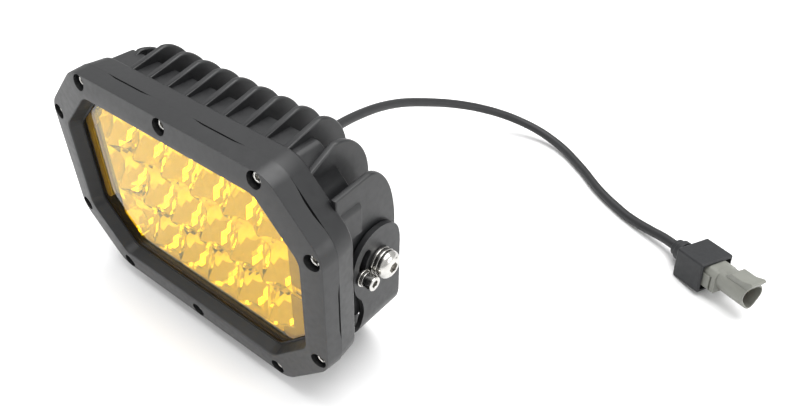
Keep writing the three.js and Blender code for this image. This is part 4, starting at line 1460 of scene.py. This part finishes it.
    def relief(self) -> bmesh.types.BMesh:
        """The tapered strain relief with its shallow grooves."""
        length, collar, (wide, narrow) = self.relief_length, self.relief_collar, self.relief_radii
        profile = [(0, 0), (wide - 0.4, 0), (wide, 0.4), (wide, collar)]
        for ring in range(self.relief_rings):
            at = 7.0 + ring * self.relief_ring_pitch
            radius = wide - (wide - narrow) * (at - collar) / (length - collar)
            groove = ((0, 0), (0.7, 0.35), (0.75, 1.0), (0.1, 1.35))
            profile += [(radius - deep, at + on) for deep, on in groove]
        profile += [(narrow, length - 0.3), (narrow - 0.3, length), (0, length)]
        return turned(profile, 40)

    def vent(self) -> bmesh.types.BMesh:
        """The pressure vent's cap with grip notches."""
        cap = turned([(0, -5.5), (2.8, -5.5), (2.8, 0), (4.7, 0), (5, 0.3), (5, 2.3), (4.4, 3.2), (3.6, 3.6),
                      (0, 3.6)])
        notches = []
        for step in range(self.vent_notches):
            angle = step * 2 * math.pi / self.vent_notches
            notches.append(rod(Axis.Y, (5.4 * math.cos(angle), 5.4 * math.sin(angle)), 0.8, (0.6, 4.5), 12))
        return Workpiece(cap).worked(Cut.REMOVE, gathered(notches)).shape()

    def build(self, shop: Workshop) -> bpy.types.Object:
        """Makes the pieces.

        Args:
            shop: The workshop.

        Returns:
            The strain relief, which goes with the lead.
        """
        d = self.drawing
        place = d.matrix()
        shop.deliver("finned_casting", self.casting(), place, Body.LAMP, Slot.LAMP_COAT, ["heat_sink_housing"])
        at_vent = place @ Matrix.Translation((2 * self.pitch, d.driver_back + GAP, 0))
        shop.deliver("pressure_vent", self.vent(), at_vent, Body.LAMP, Slot.BLACK_PLASTIC, ["vent_plug"])
        at_gland = place @ Matrix.Translation((0, d.driver_back + 2 + GAP, 0))
        shop.deliver("gland_body", self.gland(), at_gland, Body.LAMP, Slot.BLACK_PLASTIC, ["cable_gland"])
        at_relief = place @ Matrix.Translation((0, d.driver_back + 15 + 2 * GAP, 0))
        return shop.deliver("grooved_relief", self.relief(), at_relief, Body.LAMP, Slot.SEAL_RUBBER,
                            ["strain_relief"])


# ---------------------------------------------------------------- bracket


@dataclass
class Bracket:
    """The bent steel strap, drawn in the lamp's frame."""

    drawing: LampDrawing
    axis_height: float = 88.0
    head_radius: float = 21.5
    slot_half_width: float = 3.0
    slot_from: float = -28.0
    slot_to: float = 47.0
    base_holes: tuple[tuple[float, float], ...] = ((0, 5.25), (-50, 4.25), (50, 4.25))
    hole_line: float = 52.0
    pivot_hole: float = 5.35
    arm_top: float = 40.0
    softening: float = 0.45

    def strip(self) -> Outline:
        """The strap seen from the front: two arms, two slanted corners and the base."""
        d = self.drawing
        base, inset = -self.axis_height, d.arm_outer - d.plate
        outer = [(-d.arm_outer, self.arm_top, 0), (-d.arm_outer, -43, 21), (-78, base, 12),
                 (78, base, 12), (d.arm_outer, -43, 21), (d.arm_outer, self.arm_top, 0)]
        inner = [(inset, self.arm_top, 0), (inset, -44, 18), (76.5, base + d.plate, 9),
                 (-76.5, base + d.plate, 9), (-inset, -44, 18), (-inset, self.arm_top, 0)]
        return rounded(outer + inner, 10)

    def side(self) -> Outline:
        """The strap seen from the side: a wide base, a neck clear of the lamp and a round head at the pivot."""
        py, pz = self.drawing.pivot
        head, base = self.head_radius, -self.axis_height
        points = [(32, base - 1), (32, base + 3.5)]
        points += [*bend(points[-1], (33.5, base + 9), (38.5, base + 14)), (37, -48)]
        neck = (((36.5, -40), (39.5, -34)), ((41.5, -28), (38, -19)), ((32.5, -12), (py - head, -5)))
        for corner, end in neck:
            points += bend(points[-1], corner, end)
        points.append((py - head, pz + 4))
        points += arc((py - 0.3, pz + 2), head, 174.0, 50.0, 28)
        points += [*bend(points[-1], (72.8, 15.7), (73.0, 4)), (73.4, -30), (73.4, base - 1)]
        return points

    def slot(self) -> Outline:
        """The arc slot of the lock screw."""
        d, half = self.drawing, self.slot_half_width
        first, last = 180 - self.slot_from, 180 - self.slot_to
        outline = arc(d.pivot, d.lock_radius + half, first, last, 20)
        outline += arc(d.lock_place(self.slot_to), half, last, last - 180, 10)[1:]
        outline += arc(d.pivot, d.lock_radius - half, last, first, 20)[1:]
        return outline + arc(d.lock_place(self.slot_from), half, first - 180, first - 360, 10)[1:-1]

    def strap(self) -> bmesh.types.BMesh:
        """The whole strap."""
        d = self.drawing
        reach = (-d.arm_outer - 1, d.arm_outer + 1)
        through = (-self.axis_height - 1, -self.axis_height + d.plate + 1)
        holes = [rod(Axis.Z, (x, self.hole_line), radius, through) for x, radius in self.base_holes]
        work = Workpiece(prism(self.strip(), Axis.Y, (20, 90)))
        work.worked(Cut.KEEP, prism(self.side(), Axis.X, reach))
        holes = [rod(Axis.X, d.pivot, self.pivot_hole, reach), prism(self.slot(), Axis.X, reach), *holes]
        work.worked(Cut.REMOVE, *holes)
        return work.shape()

    def build(self, shop: Workshop) -> None:
        """Makes the strap."""
        shop.deliver("bent_strap", self.strap(), self.drawing.matrix(), Body.BRACKET, Slot.BRACKET_COAT,
                     ["bracket"], soften=self.softening)


# ---------------------------------------------------------------- fasteners in place


@dataclass(frozen=True)
class Stacked:
    """One piece of hardware, and how far its seat lies outside the arm."""

    kind: str
    item: SocketScrew | ButtonBolt | Washer
    outside: float


@dataclass
class Fasteners:
    """The bezel's screws and the hardware of the two pivots."""

    drawing: LampDrawing
    bezel_screw: SocketScrew = SocketScrew(3.5, 4.0, 3.0, 2.0, 14.0)
    pivot_stack: tuple[Stacked, ...] = (
        Stacked("pivot_washer", Washer(9.0, 5.3, 2.0), 2.0),
        Stacked("pivot_spring_washer", Washer(8.9, 5.3, 2.4, split=1.2), 4.7),
        Stacked("pivot_bolt", ButtonBolt(), 5.0))
    lock_stack: tuple[Stacked, ...] = (
        Stacked("lock_washer", Washer(5.5, 2.75, 1.4), 1.4),
        Stacked("lock_spring_washer", Washer(4.7, 2.75, 1.5, split=1.0), 3.2),
        Stacked("lock_screw", SocketScrew(4.5, 5.6, 4.0, 2.45, 18.0), 3.5))

    def build(self, shop: Workshop) -> None:
        """Makes every fastener."""
        d = self.drawing
        place = d.matrix()
        for index, (x, z) in enumerate(d.screw_places, start=1):
            at = place @ Matrix.Translation((x, d.screw_depth - GAP, z))
            shop.deliver(f"cap_screw_{index}", self.bezel_screw.shape(), at, Body.LAMP, Slot.STAINLESS,
                         [f"bezel_screw_{index}"])
        for side, label in ((1, "right"), (-1, "left")):
            self.pivot_hardware(shop, side, label)

    def pivot_hardware(self, shop: Workshop, side: int, label: str) -> None:
        """Makes one side's bolt, screw and washers.

        Args:
            shop: The workshop.
            side: 1 on the right, -1 on the left.
            label: The side's name.
        """
        d = self.drawing
        turn = Matrix.Rotation(side * math.pi / 2, 4, "Z")
        for (y, z), stack in ((d.pivot, self.pivot_stack), (d.lock_place(d.lock_angle), self.lock_stack)):
            for held in stack:
                at = Matrix.Translation((side * (d.arm_outer + held.outside + GAP), y, z))
                name = f"{label}_{held.kind}"
                shop.deliver(f"{name}_turned", held.item.shape(), d.matrix() @ at @ turn, Body.LAMP,
                             Slot.STAINLESS, [name])


# ---------------------------------------------------------------- studio


@dataclass(frozen=True)
class SoftLight:
    """One soft rectangular light. Its place and size are in metres."""

    name: str
    place: Point3
    size: Point2
    watts: float


@dataclass
class Studio:
    """Camera, floor and lights."""

    camera_place: Vector = field(default_factory=lambda: Vector((0.296613, -0.213941, 0.369229)))
    azimuth: float = 36.84267
    elevation: float = 38.83733
    roll: float = 1.867216
    lens: float = 32.085
    sensor: float = 36.0
    clip: Span = (0.01, 100.0)
    floor_size: float = 14.0
    floor_shade: Colour = (0.9, 0.9, 0.9)
    sky_strength: float = 0.75
    lit_place: Point3 = (0.08, 0.08, 0.05)
    lights: tuple[SoftLight, ...] = (
        SoftLight("overhead", (0.1, 0.4, 2.5), (2.6, 2.2), 85.0),
        SoftLight("right_side", (2.2, 0.6, 0.9), (1.2, 1.2), 16.0),
        SoftLight("front_left", (-1.4, -1.8, 1.0), (0.9, 0.9), 14.0))

    def camera(self) -> None:
        """Sets up the camera."""
        data = bpy.data.cameras.new("camera")
        data.sensor_width = self.sensor
        data.lens = self.lens
        data.clip_start, data.clip_end = self.clip
        a, e, r = (math.radians(x) for x in (self.azimuth, self.elevation, self.roll))
        back = Vector((math.sin(a) * math.cos(e), -math.cos(a) * math.cos(e), math.sin(e)))
        level = Vector((math.cos(a), math.sin(a), 0.0))
        upright = back.cross(level)
        right = level * math.cos(r) + upright * math.sin(r)
        up = upright * math.cos(r) - level * math.sin(r)
        turn = Matrix((right, up, back)).transposed().to_4x4()
        thing = bpy.data.objects.new("camera", data)
        thing.matrix_world = Matrix.Translation(self.camera_place) @ turn
        bpy.context.scene.collection.objects.link(thing)
        bpy.context.scene.camera = thing

    def floor(self) -> None:
        """Lays the plain pale floor."""
        shape = bmesh.new()
        bmesh.ops.create_grid(shape, x_segments=1, y_segments=1, size=self.floor_size / 2)
        mesh = bpy.data.meshes.new("floor")
        shape.to_mesh(mesh)
        shape.free()
        floor = bpy.data.objects.new("floor", mesh)
        bpy.context.scene.collection.objects.link(floor)
        recipe = Recipe("floor_paper")
        recipe.constants(base_color=self.floor_shade, roughness=0.9, specular_ior_level=0.1)
        mesh.materials.append(recipe.material)
        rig.stage(floor)

    def lamp(self, light: SoftLight) -> None:
        """Hangs one soft light, turned to the object."""
        data = bpy.data.lights.new(light.name, "AREA")
        data.shape = "RECTANGLE"
        data.size, data.size_y = light.size
        data.energy = light.watts
        thing = bpy.data.objects.new(light.name, data)
        thing.location = light.place
        back = Vector(light.place) - Vector(self.lit_place)
        thing.rotation_euler = back.to_track_quat("Z", "Y").to_euler()
        bpy.context.scene.collection.objects.link(thing)

    def light(self) -> None:
        """Lights the set softly from above and both sides."""
        world = bpy.data.worlds.new("studio")
        world.use_nodes = True
        sky = world.node_tree.nodes["Background"].inputs
        sky["Color"].default_value = (1.0, 1.0, 1.0, 1.0)
        sky["Strength"].default_value = self.sky_strength
        bpy.context.scene.world = world
        for light in self.lights:
            self.lamp(light)

    def build(self) -> None:
        """Sets up everything but the object."""
        bpy.context.scene.view_settings.view_transform = "Standard"
        self.camera()
        self.floor()
        self.light()


def box_corners(box: tuple[Vector, Vector]) -> list[list[float]]:
    """A box's two corners as plain numbers."""
    return [list(corner) for corner in box]


def main() -> None:
    """Builds the studio and the object, and notes its size."""
    logging.basicConfig(level=logging.INFO, format="%(name)s %(message)s")
    cad_box = box_corners(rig.bounds())
    Studio().build()
    shop = Workshop()
    drawing = LampDrawing()
    lead = Lead()
    jacket, path = lead.build(shop)
    on_lead = Connector().build(shop)
    Front(drawing).build(shop)
    Optics(drawing).build(shop)
    relief = Housing(drawing).build(shop)
    Bracket(drawing).build(shop)
    Fasteners(drawing).build(shop)
    length = sum((b - a).length for a, b in zip(path, path[1:]))
    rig.cord(jacket, exit=path[0], length=length, diameter=2 * lead.radius * MM, far_end="connector",
            stiffness="medium", lay="loose", path=path, with_pieces=[relief, *on_lead])
    visual_box = box_corners(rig.bounds())
    with open(SIZE_FILE, "w", encoding="utf-8") as file:
        json.dump({"cad": cad_box, "visual": visual_box}, file)
    LOG.info("lead %.3f m; boxes %s %s", length, cad_box, visual_box)


if __name__ == "__main__":
    main()
